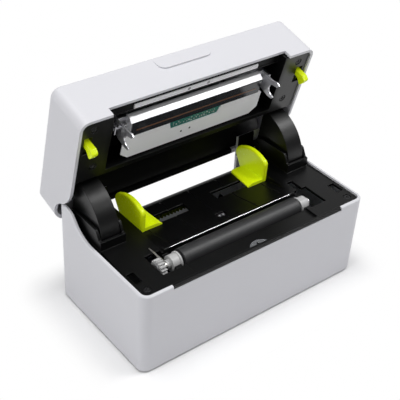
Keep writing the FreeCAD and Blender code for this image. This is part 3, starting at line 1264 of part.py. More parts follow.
head_pin = rod_x(HEAD_PIN_R, HEAD_HALF - 6, ARM_X + ARM_T + 0.4, pin_y, pin_z)
save("head_pins", Part.makeCompound(both_sides(head_pin)), True)

# Latches: hooked levers on pins between the liner's ears.
latch = side_prism(
    [
        (latch_y - 3.4, latch_z),
        (latch_y - 1.4, LINER_TOP),
        (latch_y - 1.4, LINER_Z - 7.4),
        (latch_y + 0.8, LINER_Z - 10.4),
        (latch_y + 2.8, LINER_Z - 10.2),
        (latch_y + 6.6, LINER_Z - 8.0),
        ((latch_y + 7.4, LINER_Z - 7.0), (latch_y + 6.9, LINER_Z - 5.8)),
        (latch_y + 3.8, LINER_Z - 2.6),
        (latch_y + 3.4, LINER_Z - 0.6),
        (latch_y + 3.4, latch_z),
        ((latch_y, latch_z + 3.4), (latch_y - 3.4, latch_z)),
    ],
    LATCH_X0,
    LATCH_X1,
)
latch = latch.makeFillet(LATCH_EDGE_R, [e for e in latch.Edges if e.BoundBox.XLength < 0.01])
latch = latch.cut(rod_x(LATCH_PIN_R + RUNNING, LATCH_X0 - 1, LATCH_X1 + 1, latch_y, latch_z))
save("latch_right", latch, True)
save("latch_left", mirrored(latch), True)
latch_pin = rod_x(LATCH_PIN_R, LATCH_X0 - LATCH_GAP - 1.8, LATCH_X1 + LATCH_GAP + 1.6, latch_y, latch_z)
save("latch_pins", Part.makeCompound(both_sides(latch_pin)), True)

# Feed button through the lid's top, its small board, and the status light beside it.
flange_top = roof - 0.1
button = rod_z(BUTTON_R, BUTTON_X, BUTTON_Y, flange_top - 1.4, LID_TOP_Z + BUTTON_PROUD)
top_edge = [e for e in button.Edges if abs(e.BoundBox.ZMin - LID_TOP_Z - BUTTON_PROUD) < 1e-6]
button = button.makeFillet(0.5, top_edge)
button = button.fuse(rod_z(BUTTON_R + 1.2, BUTTON_X, BUTTON_Y, flange_top - 1.4, flange_top))
switch_top = button_board_z + 3.5
button_stem = rod_z(1.6, BUTTON_X, BUTTON_Y, switch_top + BUTTON_TRAVEL + 0.3, flange_top - 1)
button = button.fuse(button_stem).removeSplitter()
save("feed_button", button, True)
button_board = block(
    BUTTON_X - 14, BUTTON_X + 14, BUTTON_Y - 9, BUTTON_Y + 7, button_board_z - BOARD_T, button_board_z
)
button_board = button_board.fuse(
    block(BUTTON_X - 3, BUTTON_X + 3, BUTTON_Y - 3, BUTTON_Y + 3, button_board_z, switch_top)
).removeSplitter()
save("button_board", button_board, True)
save("status_light", rod_z(1.5, light_x, light_y, button_board_z, LID_TOP_Z + 0.2), True)
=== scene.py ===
import bmesh
import bpy
import numpy as np
from mathutils import Matrix, Vector


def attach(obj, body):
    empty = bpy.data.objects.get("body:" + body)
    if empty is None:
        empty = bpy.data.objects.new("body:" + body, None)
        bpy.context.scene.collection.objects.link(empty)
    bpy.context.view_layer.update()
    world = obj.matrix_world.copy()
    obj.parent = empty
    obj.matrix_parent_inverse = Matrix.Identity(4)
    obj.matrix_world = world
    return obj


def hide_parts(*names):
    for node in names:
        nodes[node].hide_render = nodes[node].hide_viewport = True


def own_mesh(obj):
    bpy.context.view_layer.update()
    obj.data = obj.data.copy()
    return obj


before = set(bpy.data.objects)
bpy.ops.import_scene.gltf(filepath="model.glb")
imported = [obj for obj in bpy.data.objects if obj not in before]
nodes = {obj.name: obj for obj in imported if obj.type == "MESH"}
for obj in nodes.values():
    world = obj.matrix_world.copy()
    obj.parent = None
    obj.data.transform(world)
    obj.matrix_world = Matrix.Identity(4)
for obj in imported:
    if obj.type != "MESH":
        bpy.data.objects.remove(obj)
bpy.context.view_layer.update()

# Base shell: one deep injection-moulded tray of white ABS, satin from a fine spark-eroded mould. Its rim
# is rounded over, and it is screwed from below to the bottom pan and from above to the deck.
BUMP_STRENGTH = 0.6
FLOW_SCALE, FINE_GLOSS, FLOW_GLOSS = 22.0, 0.14, 0.08
# Edge mask for the painted highlight along edges, and the drop in roughness there.
EDGE_MASK_RADIUS, EDGE_MASK_SAMPLES, EDGE_MASK_START, EDGE_MASK_FULL, EDGE_SMOOTHING = 0.0006, 4, 1.0, 0.67, 0.18


class Field:
    """A shader socket that can be written with: + - * add Math nodes, and node() adds any other kind."""

    def __init__(self, tree, socket):
        self.tree = tree
        self.socket = socket

    def node(self, kind, settings=None, out=0, links=None):
        """A new node: its settings first, then the values or links of its sockets. Gives one of its
        outputs."""
        made = self.tree.nodes.new(kind)
        for key, value in (settings or {}).items():
            setattr(made, key, value)
        for key, value in (links or {}).items():
            if isinstance(value, Field):
                self.tree.links.new(value.socket, made.inputs[key])
            else:
                made.inputs[key].default_value = value
        return Field(self.tree, made.outputs[out])

    def maths(self, how, a, b):
        return self.node("ShaderNodeMath", {"operation": how}, 0, {0: a, 1: b})

    def __add__(self, other):
        return self.maths("ADD", self, other)

    def __radd__(self, other):
        return self.maths("ADD", other, self)

    def __sub__(self, other):
        return self.maths("SUBTRACT", self, other)

    def __rsub__(self, other):
        return self.maths("SUBTRACT", other, self)

    def __mul__(self, other):
        return self.maths("MULTIPLY", self, other)

    def __rmul__(self, other):
        return self.maths("MULTIPLY", other, self)

    def swing(self, amount):
        """Noise less its middle value of a half, times the amount."""
        return (self - 0.5) * amount

    def vector(self, how, other=(0.0, 0.0, 0.0), out=0):
        """Vector Math on this and another vector."""
        return self.node("ShaderNodeVectorMath", {"operation": how}, out, {0: self, 1: other})

    def axis(self, letter):
        """One coordinate of this vector."""
        return self.node("ShaderNodeSeparateXYZ", None, letter, {0: self})

    def ramp(self, start, end, high=1.0, how="LINEAR"):
        """0 where this is at the start value, high where it is at the end value, and held beyond both."""
        limits = {0: self, 1: start, 2: end, 3: 0.0, 4: high}
        return self.node("ShaderNodeMapRange", {"interpolation_type": how}, 0, limits)

    def blend(self, low, high):
        """Colour low where this is 0 and high where it is 1."""
        picks = {"data_type": "RGBA", "clamp_factor": True}
        a = low if isinstance(low, Field) else (*low, 1.0)
        b = high if isinstance(high, Field) else (*high, 1.0)
        return self.node("ShaderNodeMix", picks, 2, {0: self, 6: a, 7: b})

    def into(self, made, name):
        """Links this into a socket of a node that is there already."""
        self.tree.links.new(self.socket, made.inputs[name])


def new_finish(name, shine=0.5, metallic=0.0):
    """A material with a plain shader: gives it, its shader node and a Field of Object coordinates."""
    made = bpy.data.materials.new(name)
    made.use_nodes = True
    tree = made.node_tree
    shader = tree.nodes["Principled BSDF"]
    shader.inputs["Specular IOR Level"].default_value = shine
    shader.inputs["Metallic"].default_value = metallic
    place = Field(tree, tree.nodes.new("ShaderNodeTexCoord").outputs["Object"])
    return made, shader, place


def grain(place, scale, detail=2.0, stretch=None):
    """Soft noise over the piece; scale is in cycles per metre, stretch squeezes it along the axes."""
    if stretch:
        place = place.node("ShaderNodeMapping", None, 0, {"Vector": place, "Scale": stretch})
    return place.node("ShaderNodeTexNoise", None, 0, {"Vector": place, "Scale": scale, "Detail": detail})


def feed(shader, colour, rough=None, height=None, depth=0.0):
    """Links a colour, a roughness and a bump of the given depth in metres into the shader."""
    colour.into(shader, "Base Color")
    if rough is not None:
        rough.into(shader, "Roughness")
    if height is not None:
        relief = {"Height": height, "Strength": BUMP_STRENGTH, "Distance": depth}
        height.node("ShaderNodeBump", None, 0, relief).into(shader, "Normal")


def shaded(colour, share):
    """The colour times one more or less than 1 by the share."""
    return tuple(min(1.0, part * (1.0 + share)) for part in colour)


def moulded(name, colour, rough, cell, depth, spread=0.04, shine=0.5, edge=None):
    """Moulded plastic: a spark-eroded grain of one cell size, broad faint flow marks in the colour, and,
    where an edge colour is given, a painted highlight: corners are painted towards that lighter colour
    and made smoother. The painted highlight lies where the rounded normal and the true one part."""
    made, shader, place = new_finish(name, shine)
    fine = grain(place, 1.0 / cell, detail=3.0)
    broad = grain(place, FLOW_SCALE)
    tint = broad.blend(shaded(colour, -spread), shaded(colour, spread))
    gloss = fine.swing(FINE_GLOSS) + broad.swing(FLOW_GLOSS) + rough
    # Painted highlight: edges are painted towards the lighter edge colour, and made smoother.
    if edge:
        rounded = place.node("ShaderNodeBevel", {"samples": EDGE_MASK_SAMPLES}, 0, {"Radius": EDGE_MASK_RADIUS})
        true = place.node("ShaderNodeNewGeometry", None, "True Normal")
        edge_highlight = rounded.vector("DOT_PRODUCT", true, "Value").ramp(EDGE_MASK_START, EDGE_MASK_FULL)
        tint = edge_highlight.blend(tint, edge)
        gloss = gloss - edge_highlight * EDGE_SMOOTHING
    feed(shader, tint, gloss, fine, depth)
    return made


def dress(finish, *names):
    """Gives CAD nodes a finish, with their meshes as they are."""
    for name in names:
        for held in nodes[name].material_slots:
            held.material = finish


shell_white = moulded(
    "shell_white", (0.70, 0.70, 0.735), rough=0.44, cell=0.0009, depth=0.00002, spread=0.012
)
dress(shell_white, "base_shell")

# Bottom pan and feet: a black moulded plate that closes the tray from below, screwed to its four posts,
# and four soft rubber discs pressed into it.
pan_black = moulded(
    "pan_black", (0.014, 0.014, 0.015), rough=0.52, cell=0.0012, depth=0.00004, spread=0.08, shine=0.35
)
foot_rubber = moulded(
    "foot_rubber", (0.024, 0.024, 0.024), rough=0.75, cell=0.0006, depth=0.00004, spread=0.15, shine=0.3
)
dress(pan_black, "bottom_pan")
dress(foot_rubber, "rubber_feet")

# Pan and deck screws: pan-head self-tapping screws with a sunk cross, plated below and blackened above.
# The upper four hold the deck to the posts, the lower four hold the pan to them. New pieces are drawn in
# millimetres.
MIDDLE_Y, FOOT_H = 14.938, 2.0
HINGE_Y, HINGE_Z, LID_OPEN = 45.65, 72.5, np.radians(75.5)
MERGE_METRES, CREASE = 0.0000002, np.radians(40.0)
SCREW_HEAD_R, SCREW_HEAD_H, SCREW_SHANK_R = 2.7, 1.0, 1.4
HEAD_FLAT, HEAD_CROWN, RIM_TOP, RIM_DROP = 0.9, 0.16, 0.13, 0.27
NECK, NECK_DROP = 0.98, 0.02
THREAD_PITCH, THREAD_CUT, POINT_FROM, POINT_TAPER = 1.1, 0.07, 0.9, 7.0
HEAD_ROWS, RIM_ROWS, SHANK_ROWS_A_MM, SCREW_SIDES = 20, 5, 4.0, 48
CROSS_HALF, CROSS_HALF_SOFT, CROSS_REACH, CROSS_REACH_SOFT, CROSS_DEPTH = 0.55, 0.22, 1.75, 0.35, 0.55
POST_FRONT_X, POST_FRONT_Y, POST_REAR_X, POST_REAR_Y = 98.0, -46.0, 72.5, 46.5
PAN_HEAD_Z, PAN_SHANK, DECK_HEAD_Z, DECK_SHANK = -0.4, 10.2, 69.3, 12.0
HANDLING_SCALE, LINE_GLOSS, HANDLING_GLOSS = 60.0, 0.16, 0.1


def placed(points, on_lid=False):
    """Drawing millimetres to frame metres: y and z are shifted to the frame's middle and floor. Lid
    pieces are drawn with the lid shut, so they are first turned up about the hinge line by the open
    angle."""
    x, y, z = np.asarray(points, float).T
    if on_lid:
        dy, dz = y - HINGE_Y, z - HINGE_Z
        y = HINGE_Y + dy * np.cos(LID_OPEN) + dz * np.sin(LID_OPEN)
        z = HINGE_Z - dy * np.sin(LID_OPEN) + dz * np.cos(LID_OPEN)
    return np.stack((x, y - MIDDLE_Y, z + FOOT_H), -1) / 1000.0


def add_piece(name, grids, finish, body, stands_for=(), on_lid=False):
    """One mesh from equal grids of points (copies, rows, columns, xyz): each point is joined to its
    neighbours along and across, the columns close round, and rows drawn together to a point close as
    poles."""
    copies, rows, cols, _ = grids.shape
    down, over = np.meshgrid(np.arange(rows - 1), np.arange(cols), indexing="ij")
    here = down * cols + over
    beside = down * cols + (over + 1) % cols
    quads = np.stack((here, beside, beside + cols, here + cols), -1).reshape(-1, 4)
    quads = (quads[None] + np.arange(copies)[:, None, None] * rows * cols).reshape(-1, 4)
    mesh = bpy.data.meshes.new(name)
    mesh.from_pydata(placed(grids.reshape(-1, 3), on_lid), [], quads.tolist())
    shape = bmesh.new()
    shape.from_mesh(mesh)
    bmesh.ops.remove_doubles(shape, verts=shape.verts, dist=MERGE_METRES)
    bmesh.ops.recalc_face_normals(shape, faces=shape.faces)
    shape.to_mesh(mesh)
    shape.free()
    mesh.polygons.foreach_set("use_smooth", np.ones(len(mesh.polygons), bool))
    mesh.set_sharp_from_angle(angle=CREASE)
    mesh.materials.append(finish)
    piece = bpy.data.objects.new(name, mesh)
    bpy.context.scene.collection.objects.link(piece)
    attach(piece, body)
    if stands_for:
        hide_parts(*stands_for)
    return piece


def copied(shape, places):
    """One grid of points repeated at each place in x and y."""
    return shape[None] + np.array([(x, y, 0.0) for x, y in places])[:, None, None, :]


def screws(places, top, facing, shank_len):
    """Screws on the z axis, heads at height top and facing up or down. The profile of radius and depth
    runs from the middle of the head over its rim, under it and down the threaded shank, where the radius
    waves once a turn. The head is sunk by a cross where the smaller of x and y is within the arm."""
    head = np.linspace(0.0, HEAD_FLAT, HEAD_ROWS)
    rim = np.linspace(0.0, np.pi / 2, RIM_ROWS)
    shank = np.linspace(0.0, 1.0, int(shank_len * SHANK_ROWS_A_MM))
    wave = np.cos(2.0 * np.pi * shank * shank_len / THREAD_PITCH)
    thread = SCREW_SHANK_R * (1.0 - THREAD_CUT + THREAD_CUT * wave)
    taper = np.where(shank > POINT_FROM, 1.0 - (shank - POINT_FROM) * POINT_TAPER, 1.0)
    radius = np.concatenate(
        (
            SCREW_HEAD_R * head,
            SCREW_HEAD_R * (HEAD_FLAT + (1.0 - HEAD_FLAT) * np.sin(rim)),
            (SCREW_HEAD_R, SCREW_SHANK_R * NECK),
            thread * taper,
            (0.0,),
        )
    )
    depth = np.concatenate(
        (
            HEAD_CROWN * head**2,
            RIM_TOP + RIM_DROP * (1.0 - np.cos(rim)),
            (SCREW_HEAD_H, SCREW_HEAD_H),
            SCREW_HEAD_H + NECK_DROP + shank * (shank_len - NECK_DROP),
            (SCREW_HEAD_H + shank_len,),
        )
    )
    turn = np.linspace(0.0, 2.0 * np.pi, SCREW_SIDES, endpoint=False)
    x = radius[:, None] * np.cos(turn)
    y = radius[:, None] * np.sin(turn)
    on_head = (np.arange(len(radius)) < len(head))[:, None]
    arm = np.clip((CROSS_HALF - np.minimum(abs(x), abs(y))) / CROSS_HALF_SOFT, 0.0, 1.0)
    reach = np.clip((CROSS_REACH - np.hypot(x, y)) / CROSS_REACH_SOFT, 0.0, 1.0)
    z = depth[:, None] + CROSS_DEPTH * arm * reach * on_head
    return copied(np.stack((x, y * facing, top - z * facing), -1), places)


def metal(name, colour, rough, stretch, depth, speck=0.06, metallic=1.0):
    """Metal with a drawn or ground grain: noise squeezed across the grain changes gloss and height, and a
    broad cloud of handling dulls it in places."""
    made, shader, place = new_finish(name, metallic=metallic)
    lines = grain(place, 1.0, detail=4.0, stretch=stretch)
    cloud = grain(place, HANDLING_SCALE)
    tint = lines.blend(shaded(colour, -speck), shaded(colour, speck))
    feed(shader, tint, lines.swing(LINE_GLOSS) + cloud.swing(HANDLING_GLOSS) + rough, lines, depth)
    return made


even = (900.0, 900.0, 900.0)
screw_steel = metal("screw_steel", (0.56, 0.56, 0.57), rough=0.32, stretch=even, depth=0.00001)
screw_black = metal("screw_black", (0.05, 0.05, 0.052), rough=0.38, stretch=even, depth=0.00001, speck=0.1)
posts = [
    (-POST_FRONT_X, POST_FRONT_Y),
    (POST_FRONT_X, POST_FRONT_Y),
    (-POST_REAR_X, POST_REAR_Y),
    (POST_REAR_X, POST_REAR_Y),
]
pan_screws = screws(posts, PAN_HEAD_Z, facing=-1, shank_len=PAN_SHANK)
deck_screws = screws(posts, DECK_HEAD_Z, facing=1, shank_len=DECK_SHANK)
add_piece("pan_screw_heads", pan_screws, screw_steel, "base", ["bottom_screws"])
add_piece("deck_screw_heads", deck_screws, screw_black, "base", ["deck_screws"])
dress(screw_steel, "board_screws", "bracket_screws")

# Deck: the black moulded frame that carries the roller, the guides and the hinge, screwed down on the
# base's posts. Satin, with every edge broken; along the edges its colour is painted lighter, a painted
# highlight, and it is made smoother there.
SOLID_MERGE_METRES, FLAT, SHARP, BREAK_STEPS = 0.000002, np.radians(0.3), np.radians(35.0), 2
# The lighter black painted on black edges as a painted highlight.
EDGE_HIGHLIGHT_BLACK = (0.010, 0.010, 0.011)


def eased(name, body, finish, width):
    """A CAD solid with its sharp edges broken: its triangles are joined, flat ones become one face, and
    every edge over the sharp angle is rounded to the width in metres."""
    mesh = nodes[name].data.copy()
    shape = bmesh.new()
    shape.from_mesh(mesh)
    bmesh.ops.remove_doubles(shape, verts=shape.verts, dist=SOLID_MERGE_METRES)
    bmesh.ops.dissolve_limit(shape, angle_limit=FLAT, verts=shape.verts, edges=shape.edges)
    shape.to_mesh(mesh)
    shape.free()
    if "custom_normal" in mesh.attributes:
        mesh.attributes.remove(mesh.attributes["custom_normal"])
    mesh.polygons.foreach_set("use_smooth", np.ones(len(mesh.polygons), bool))
    mesh.set_sharp_from_angle(angle=SHARP)
    mesh.materials.clear()
    mesh.materials.append(finish)
    piece = bpy.data.objects.new(name + "_eased", mesh)
    bpy.context.scene.collection.objects.link(piece)
    edge = piece.modifiers.new("edge", "BEVEL")
    edge.limit_method = "ANGLE"
    edge.angle_limit = SHARP
    edge.width = width
    edge.segments = BREAK_STEPS
    edge.use_clamp_overlap = False
    edge.harden_normals = True
    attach(piece, body)
    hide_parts(name)


deck_black = moulded(
    "deck_black",
    (0.0016, 0.0016, 0.0018),
    rough=0.36,
    cell=0.0003,
    depth=0.000003,
    spread=0.12,
    shine=0.25,
    edge=EDGE_HIGHLIGHT_BLACK,
)
eased("deck", "base", deck_black, width=0.00035)

# Inlet linings: two thin black plates that stand on the deck's rear corners, against the shell's back
# wall, from the paper inlet to the hinge guards. They keep the label roll off the white moulding.
LINING_INNER_X, LINING_OUTER_X = 66.1, 82.4
LINING_FRONT_Y, LINING_BACK_Y, LINING_FOOT_Z, LINING_TOP_Z = 52.5, 53.45, 69.4, 85.25


def bar(x0, x1, outline):
    """A bar along x: an outline in y and z is carried from one end to the other, and drawn to its middle
    at both ends."""
    along = np.array((x0, x0, x1, x1))[:, None]
    width = np.array((0.0, 1.0, 1.0, 0.0))[:, None, None]
    middle = outline.mean(0)
    loops = middle + (outline - middle) * width
    return np.stack(np.broadcast_arrays(along, loops[..., 0], loops[..., 1]), -1)[None]


def block(y0, y1, z0, z1):
    """The outline of a square-edged bar: its four corners in order."""
    return np.array(((y1, z0), (y1, z1), (y0, z1), (y0, z0)))


lining = block(LINING_FRONT_Y, LINING_BACK_Y, LINING_FOOT_Z, LINING_TOP_Z)
left_lining = bar(-LINING_OUTER_X, -LINING_INNER_X, lining)
right_lining = bar(LINING_INNER_X, LINING_OUTER_X, lining)
add_piece("inlet_linings", np.concatenate((left_lining, right_lining)), deck_black, "base")

# Sensors: a dark infrared block in the paper path with two clear domes, and a clear half-round lens on
# the front apron that looks for the label's edge. Both are snapped into the deck from below.
DOME_ROWS, DOME_SIDES, DOME_SINK = 9, 20, 0.15
SENSOR_X, SENSOR_Y, SENSOR_TOP, SENSOR_DOME_R, SENSOR_DOME_H = 1.7, -6.8, 67.5, 1.35, 1.0


def domes(places, radius, height, base, facing=1):
    """Domes in z: rows run from the rim to the top along a quarter turn, columns go round. The rim is
    first carried down into what holds the dome, and drawn to a point there."""
    quarter = np.linspace(0.0, np.pi / 2, DOME_ROWS)
    climb = np.concatenate(((0.0, 0.0), np.sin(quarter)))[:, None]
    spread = np.concatenate(((0.0, 1.0), np.cos(quarter)))[:, None]
    sink = np.concatenate(((DOME_SINK, DOME_SINK), np.zeros(DOME_ROWS)))[:, None]
    turn = np.linspace(0.0, 2.0 * np.pi, DOME_SIDES, endpoint=False)
    middle_x, middle_y = np.array(places, float).T[:, :, None, None]
    size = np.reshape(radius, (-1, 1, 1))
    lift = np.reshape(height, (-1, 1, 1))
    x = middle_x + size * spread * np.cos(turn)
    y = middle_y + size * spread * np.sin(turn)
    z = base + facing * (lift * climb - sink)
    return np.stack(np.broadcast_arrays(x, y, z), -1)


sensor_dark = moulded("sensor_dark", (0.012, 0.009, 0.011), rough=0.16, cell=0.002, depth=0.000005)
eased("media_sensor", "base", sensor_dark, width=0.0006)
lens_clear, lens_shader, lens_place = new_finish("lens_clear")
lens_shader.inputs["Transmission Weight"].default_value = 0.8
lens_shader.inputs["IOR"].default_value = 1.49
lens_haze = grain(lens_place, 300.0)
feed(lens_shader, lens_haze.blend((0.62, 0.64, 0.68), (0.78, 0.80, 0.84)), lens_haze.swing(0.1) + 0.14)
sensor_places = [(-SENSOR_X, SENSOR_Y), (SENSOR_X, SENSOR_Y)]
sensor_domes = domes(sensor_places, SENSOR_DOME_R, SENSOR_DOME_H, SENSOR_TOP)
add_piece("sensor_domes", sensor_domes, lens_clear, "base")
eased("label_sensor_lens", "base", lens_clear, width=0.0004)

# Hinge pins, shafts and studs: ground steel rod, bright at the ends, with fine lines round it from
# grinding. The pins and studs are pressed into what holds them, and the shafts turn in their bushings.
rod_steel = metal(
    "rod_steel", (0.66, 0.66, 0.67), rough=0.26, stretch=(2600.0, 120.0, 120.0), depth=0.00001
)
dress(rod_steel, "hinge_pins", "platen_shaft", "idler_stud", "pinion_clip", "motor_shaft")

# Edge highlight wire: a fine bright steel wire laid along the front edge of the deck's panel, just before
# the roller, that stands in for the highlight along that edge: a painted highlight.
WIRE_HALF, WIRE_Y, WIRE_Z, WIRE_R, WIRE_SIDES = 59.0, -19.45, 71.15, 0.30, 12


def ring(middle_y, middle_z, radius, angles):
    """Points in y and z at a radius from a middle, at angles from y towards z."""
    return np.stack((middle_y + radius * np.cos(angles), middle_z + radius * np.sin(angles)), -1)


highlight_wire_steel = metal(
    "highlight_wire_steel", (0.86, 0.86, 0.88), rough=0.24, stretch=(20.0, 900.0, 900.0), depth=0.000001, speck=0.03
)
wire_round = ring(WIRE_Y, WIRE_Z, WIRE_R, np.linspace(0.0, 2.0 * np.pi, WIRE_SIDES, endpoint=False))
add_piece("edge_highlight_wire", bar(-WIRE_HALF, WIRE_HALF, wire_round), highlight_wire_steel, "base")

# Platen: a rubber sleeve moulded on its steel shaft and ground true, so fine rings run round it, with a
# dusting of paper. It turns in two bushings.
rubber, rubber_shader, rubber_place = new_finish("platen_rubber", shine=0.6)
rings = grain(rubber_place, 1.0, detail=3.0, stretch=(3200.0, 60.0, 60.0))
dust = grain(rubber_place, 140.0, detail=4.0)
rubber_tint = dust.blend((0.014, 0.014, 0.015), (0.028, 0.028, 0.030))
rubber_gloss = rings.swing(0.16) + dust.swing(0.12) + 0.48
feed(rubber_shader, rubber_tint, rubber_gloss, rings, depth=0.00002)
eased("platen_rubber", "platen", rubber, width=0.0005)

# Bushings and gears: white acetal, slightly waxy, with a trace of grey grease between the teeth. The
# gears are pressed on their shafts, the bushings sit in the deck's slots, and a spring steel leaf earths
# the shaft.
acetal, acetal_shader, acetal_place = new_finish("white_acetal")
smear = grain(acetal_place, 260.0, detail=3.0)
acetal_tint = smear.blend((0.40, 0.40, 0.40), (0.56, 0.56, 0.56))
feed(acetal_shader, acetal_tint, smear.swing(0.2) + 0.36, smear, depth=0.00002)
eased("bushing_left", "base", acetal, width=0.0003)
eased("bushing_right", "base", acetal, width=0.0003)
eased("platen_gear", "platen", acetal, width=0.00015)
dress(acetal, "idler_gear", "guide_pinion")
leaf_steel = metal(
    "leaf_steel", (0.62, 0.60, 0.56), rough=0.34, stretch=(300.0, 1400.0, 300.0), depth=0.000008, speck=0.08
)
dress(leaf_steel, "ground_spring")

# Drive: a dark can motor screwed to a plated sheet bracket, with a small steel pinion pressed on its
# shaft. The sheet keeps the spangle of its zinc coat.
motor_dark = metal(
    "motor_dark", (0.13, 0.13, 0.14), rough=0.42, stretch=(500.0, 500.0, 40.0), depth=0.00001, speck=0.10
)
zinc, zinc_shader, zinc_place = new_finish("zinc_sheet", metallic=1.0)
spangle = zinc_place.node("ShaderNodeTexVoronoi", None, 0, {"Vector": zinc_place, "Scale": 420.0})
zinc_lines = grain(zinc_place, 1.0, detail=4.0, stretch=(30.0, 1500.0, 1500.0))
zinc_tint = (zinc_lines * 0.5 + spangle * 0.5).blend((0.58, 0.58, 0.61), (0.76, 0.76, 0.79))
zinc_gloss = zinc_lines.swing(0.18) + (spangle - 0.4) * 0.1 + 0.36
feed(zinc_shader, zinc_tint, zinc_gloss, zinc_lines, depth=0.00001)
dress(motor_dark, "drive_motor")
dress(zinc, "gear_plate")
dress(rod_steel, "motor_pinion")

# Main board: green solder mask over a fine weave of tracks, screwed to the pan's standoffs, with black
# moulded parts soldered on it.
board_green, board_shader, board_place = new_finish("board_green")
weave = {"Vector": board_place, "Scale": 260.0, "Mortar Size": 0.05, "Brick Width": 0.9, "Row Height": 0.22}
tracks = board_place.node("ShaderNodeTexBrick", {"offset": 0.5}, 1, weave)
mask_cloud = grain(board_place, 90.0)
mask_tint = mask_cloud.blend((0.004, 0.085, 0.066), (0.006, 0.125, 0.100))
board_tint = tracks.blend(mask_tint, (0.02, 0.21, 0.17))
feed(board_shader, board_tint, mask_cloud.swing(0.12) + 0.30, tracks, depth=0.00003)
dress(board_green, "main_board")
# Black nylon parts: their edges are painted a lighter grey as a painted highlight.
nylon_black = moulded(
    "nylon_black",
    (0.012, 0.012, 0.013),
    rough=0.42,
    cell=0.0010,
    depth=0.00003,
    spread=0.06,
    shine=0.4,
    edge=(0.05, 0.05, 0.05),
)
dress(nylon_black, "board_components")

# Sockets and switch at the back: a folded sheet data socket and a moulded power socket on the board, and
# a rocker switch pushed through the wall until its lugs snap.
dress(zinc, "usb_port")
eased("dc_jack", "base", nylon_black, width=0.0003)
eased("switch_housing", "base", nylon_black, width=0.0004)
eased("power_rocker", "power_rocker", nylon_black, width=0.0004)

# Media guides: two glossy lime mouldings in a fluorescent plastic, with a faint glow added as painted
# light above the deck and edges painted lighter as a painted highlight. They slide together on racks and
# a pinion under the deck, where they are painted dark as painted shade.
RACK_TOP, FOOT_BOTTOM = 0.0664, 0.0674
# Painted shade for the lime under the deck, and the painted glow above it with its strength.
BELOW_DECK_SHADE, LIME_PAINTED_GLOW, LIME_PAINTED_GLOW_STRENGTH = (0.05, 0.06, 0.003), (0.72, 0.90, 0.01), 0.10


def reopened(finish):
    """The shader node and the Object coordinates of a finish that is made already, to add to it."""
    tree = finish.node_tree
    return tree.nodes["Principled BSDF"], Field(tree, tree.nodes["Texture Coordinate"].outputs["Object"])


lime = moulded(
    "lime_gloss",
    (0.72, 0.88, 0.004),
    rough=0.26,
    cell=0.0016,
    depth=0.000008,
    spread=0.03,
    shine=0.35,
    edge=(0.80, 0.92, 0.05),
)
lime_shader, lime_place = reopened(lime)
# Painted shade below the deck and a painted glow above it, switched by height.
above_deck = lime_place.axis("Z").ramp(RACK_TOP, FOOT_BOTTOM)
lime_tint = Field(lime_place.tree, lime_shader.inputs["Base Color"].links[0].from_socket)
feed(lime_shader, above_deck.blend(BELOW_DECK_SHADE, lime_tint))
above_deck.blend((0.0, 0.0, 0.0), LIME_PAINTED_GLOW).into(lime_shader, "Emission Color")
lime_shader.inputs["Emission Strength"].default_value = LIME_PAINTED_GLOW_STRENGTH
dress(lime, "guide_left", "guide_right")

# Lid shell: the same white moulding as the base, with a raised finger tongue in front and posts inside
# that take the liner's screws.
dress(shell_white, "lid_shell")

# Lid liner: the black moulded inside of the lid, with a bay for the print head, a concave trough behind
# it and two drums that close the hinge sides, polished by the roll's ends. Four blackened screws hold it
# to the lid.
DRUM_FROM, DRUM_FULL, DRUM_POLISH, DRUM_POLISH_ROUGH = 0.076, 0.084, 0.6, 0.32
LINER_FRONT_X, LINER_FRONT_Y, LINER_REAR_X, LINER_REAR_Y = 94.5, -45.0, 91.0, -7.8
LINER_HEAD_Z, LINER_SHANK = 72.8, 9.0
# Like the deck, its edges are painted lighter as a painted highlight.
liner_black = moulded(
    "liner_black",
    (0.0022, 0.0022, 0.0024),
    rough=0.44,
    cell=0.0003,
    depth=0.000003,
    spread=0.12,
    shine=0.13,
    edge=EDGE_HIGHLIGHT_BLACK,
)
liner_shader, liner_place = reopened(liner_black)
drum_polish = liner_place.vector("ABSOLUTE").axis("X").ramp(DRUM_FROM, DRUM_FULL, DRUM_POLISH)
drum_polish.into(liner_shader, "Coat Weight")
liner_shader.inputs["Coat Roughness"].default_value = DRUM_POLISH_ROUGH
eased("lid_liner", "lid", liner_black, width=0.00035)
liner_posts = [
    (-LINER_FRONT_X, LINER_FRONT_Y),
    (LINER_FRONT_X, LINER_FRONT_Y),
    (-LINER_REAR_X, LINER_REAR_Y),
    (LINER_REAR_X, LINER_REAR_Y),
]
liner_screws = screws(liner_posts, LINER_HEAD_Z, facing=-1, shank_len=LINER_SHANK)
add_piece("liner_screw_heads", liner_screws, screw_black, "lid", ["liner_screws"], on_lid=True)

# Rear trim: a thin black strip that turns from the liner's trough over the lower edge of the lid's rear
# wall, as wide as the paper inlet, so that labels from a roll outside run over no white edge.
EDGE_R, TRIM_T, TRIM_SEAT, TRIM_HALF = 15.5, 0.35, 0.05, 65.5
TRIM_FRONT_Y, TRIM_BACK_Y, TRIM_BEND_Z, TRIM_TOP_Z = 52.75, 53.45, 86.3, 88.4
TRIM_FROM, TRIM_TO, TRIM_STEPS, TRIM_BACK_SKIP = 62.0, 49.6, 9, 2
trim_turn = np.radians(np.linspace(TRIM_FROM, TRIM_TO, TRIM_STEPS))
trim_outline = np.concatenate(
    (
        ((TRIM_FRONT_Y, TRIM_TOP_Z), (TRIM_FRONT_Y, TRIM_BEND_Z)),
        ring(HINGE_Y, HINGE_Z, EDGE_R - TRIM_T, trim_turn),
        ring(HINGE_Y, HINGE_Z, EDGE_R + TRIM_SEAT, trim_turn[:TRIM_BACK_SKIP:-1]),
        ((TRIM_BACK_Y, TRIM_BEND_Z), (TRIM_BACK_Y, TRIM_TOP_Z)),
    )
)
rear_trim = bar(-TRIM_HALF, TRIM_HALF, trim_outline)
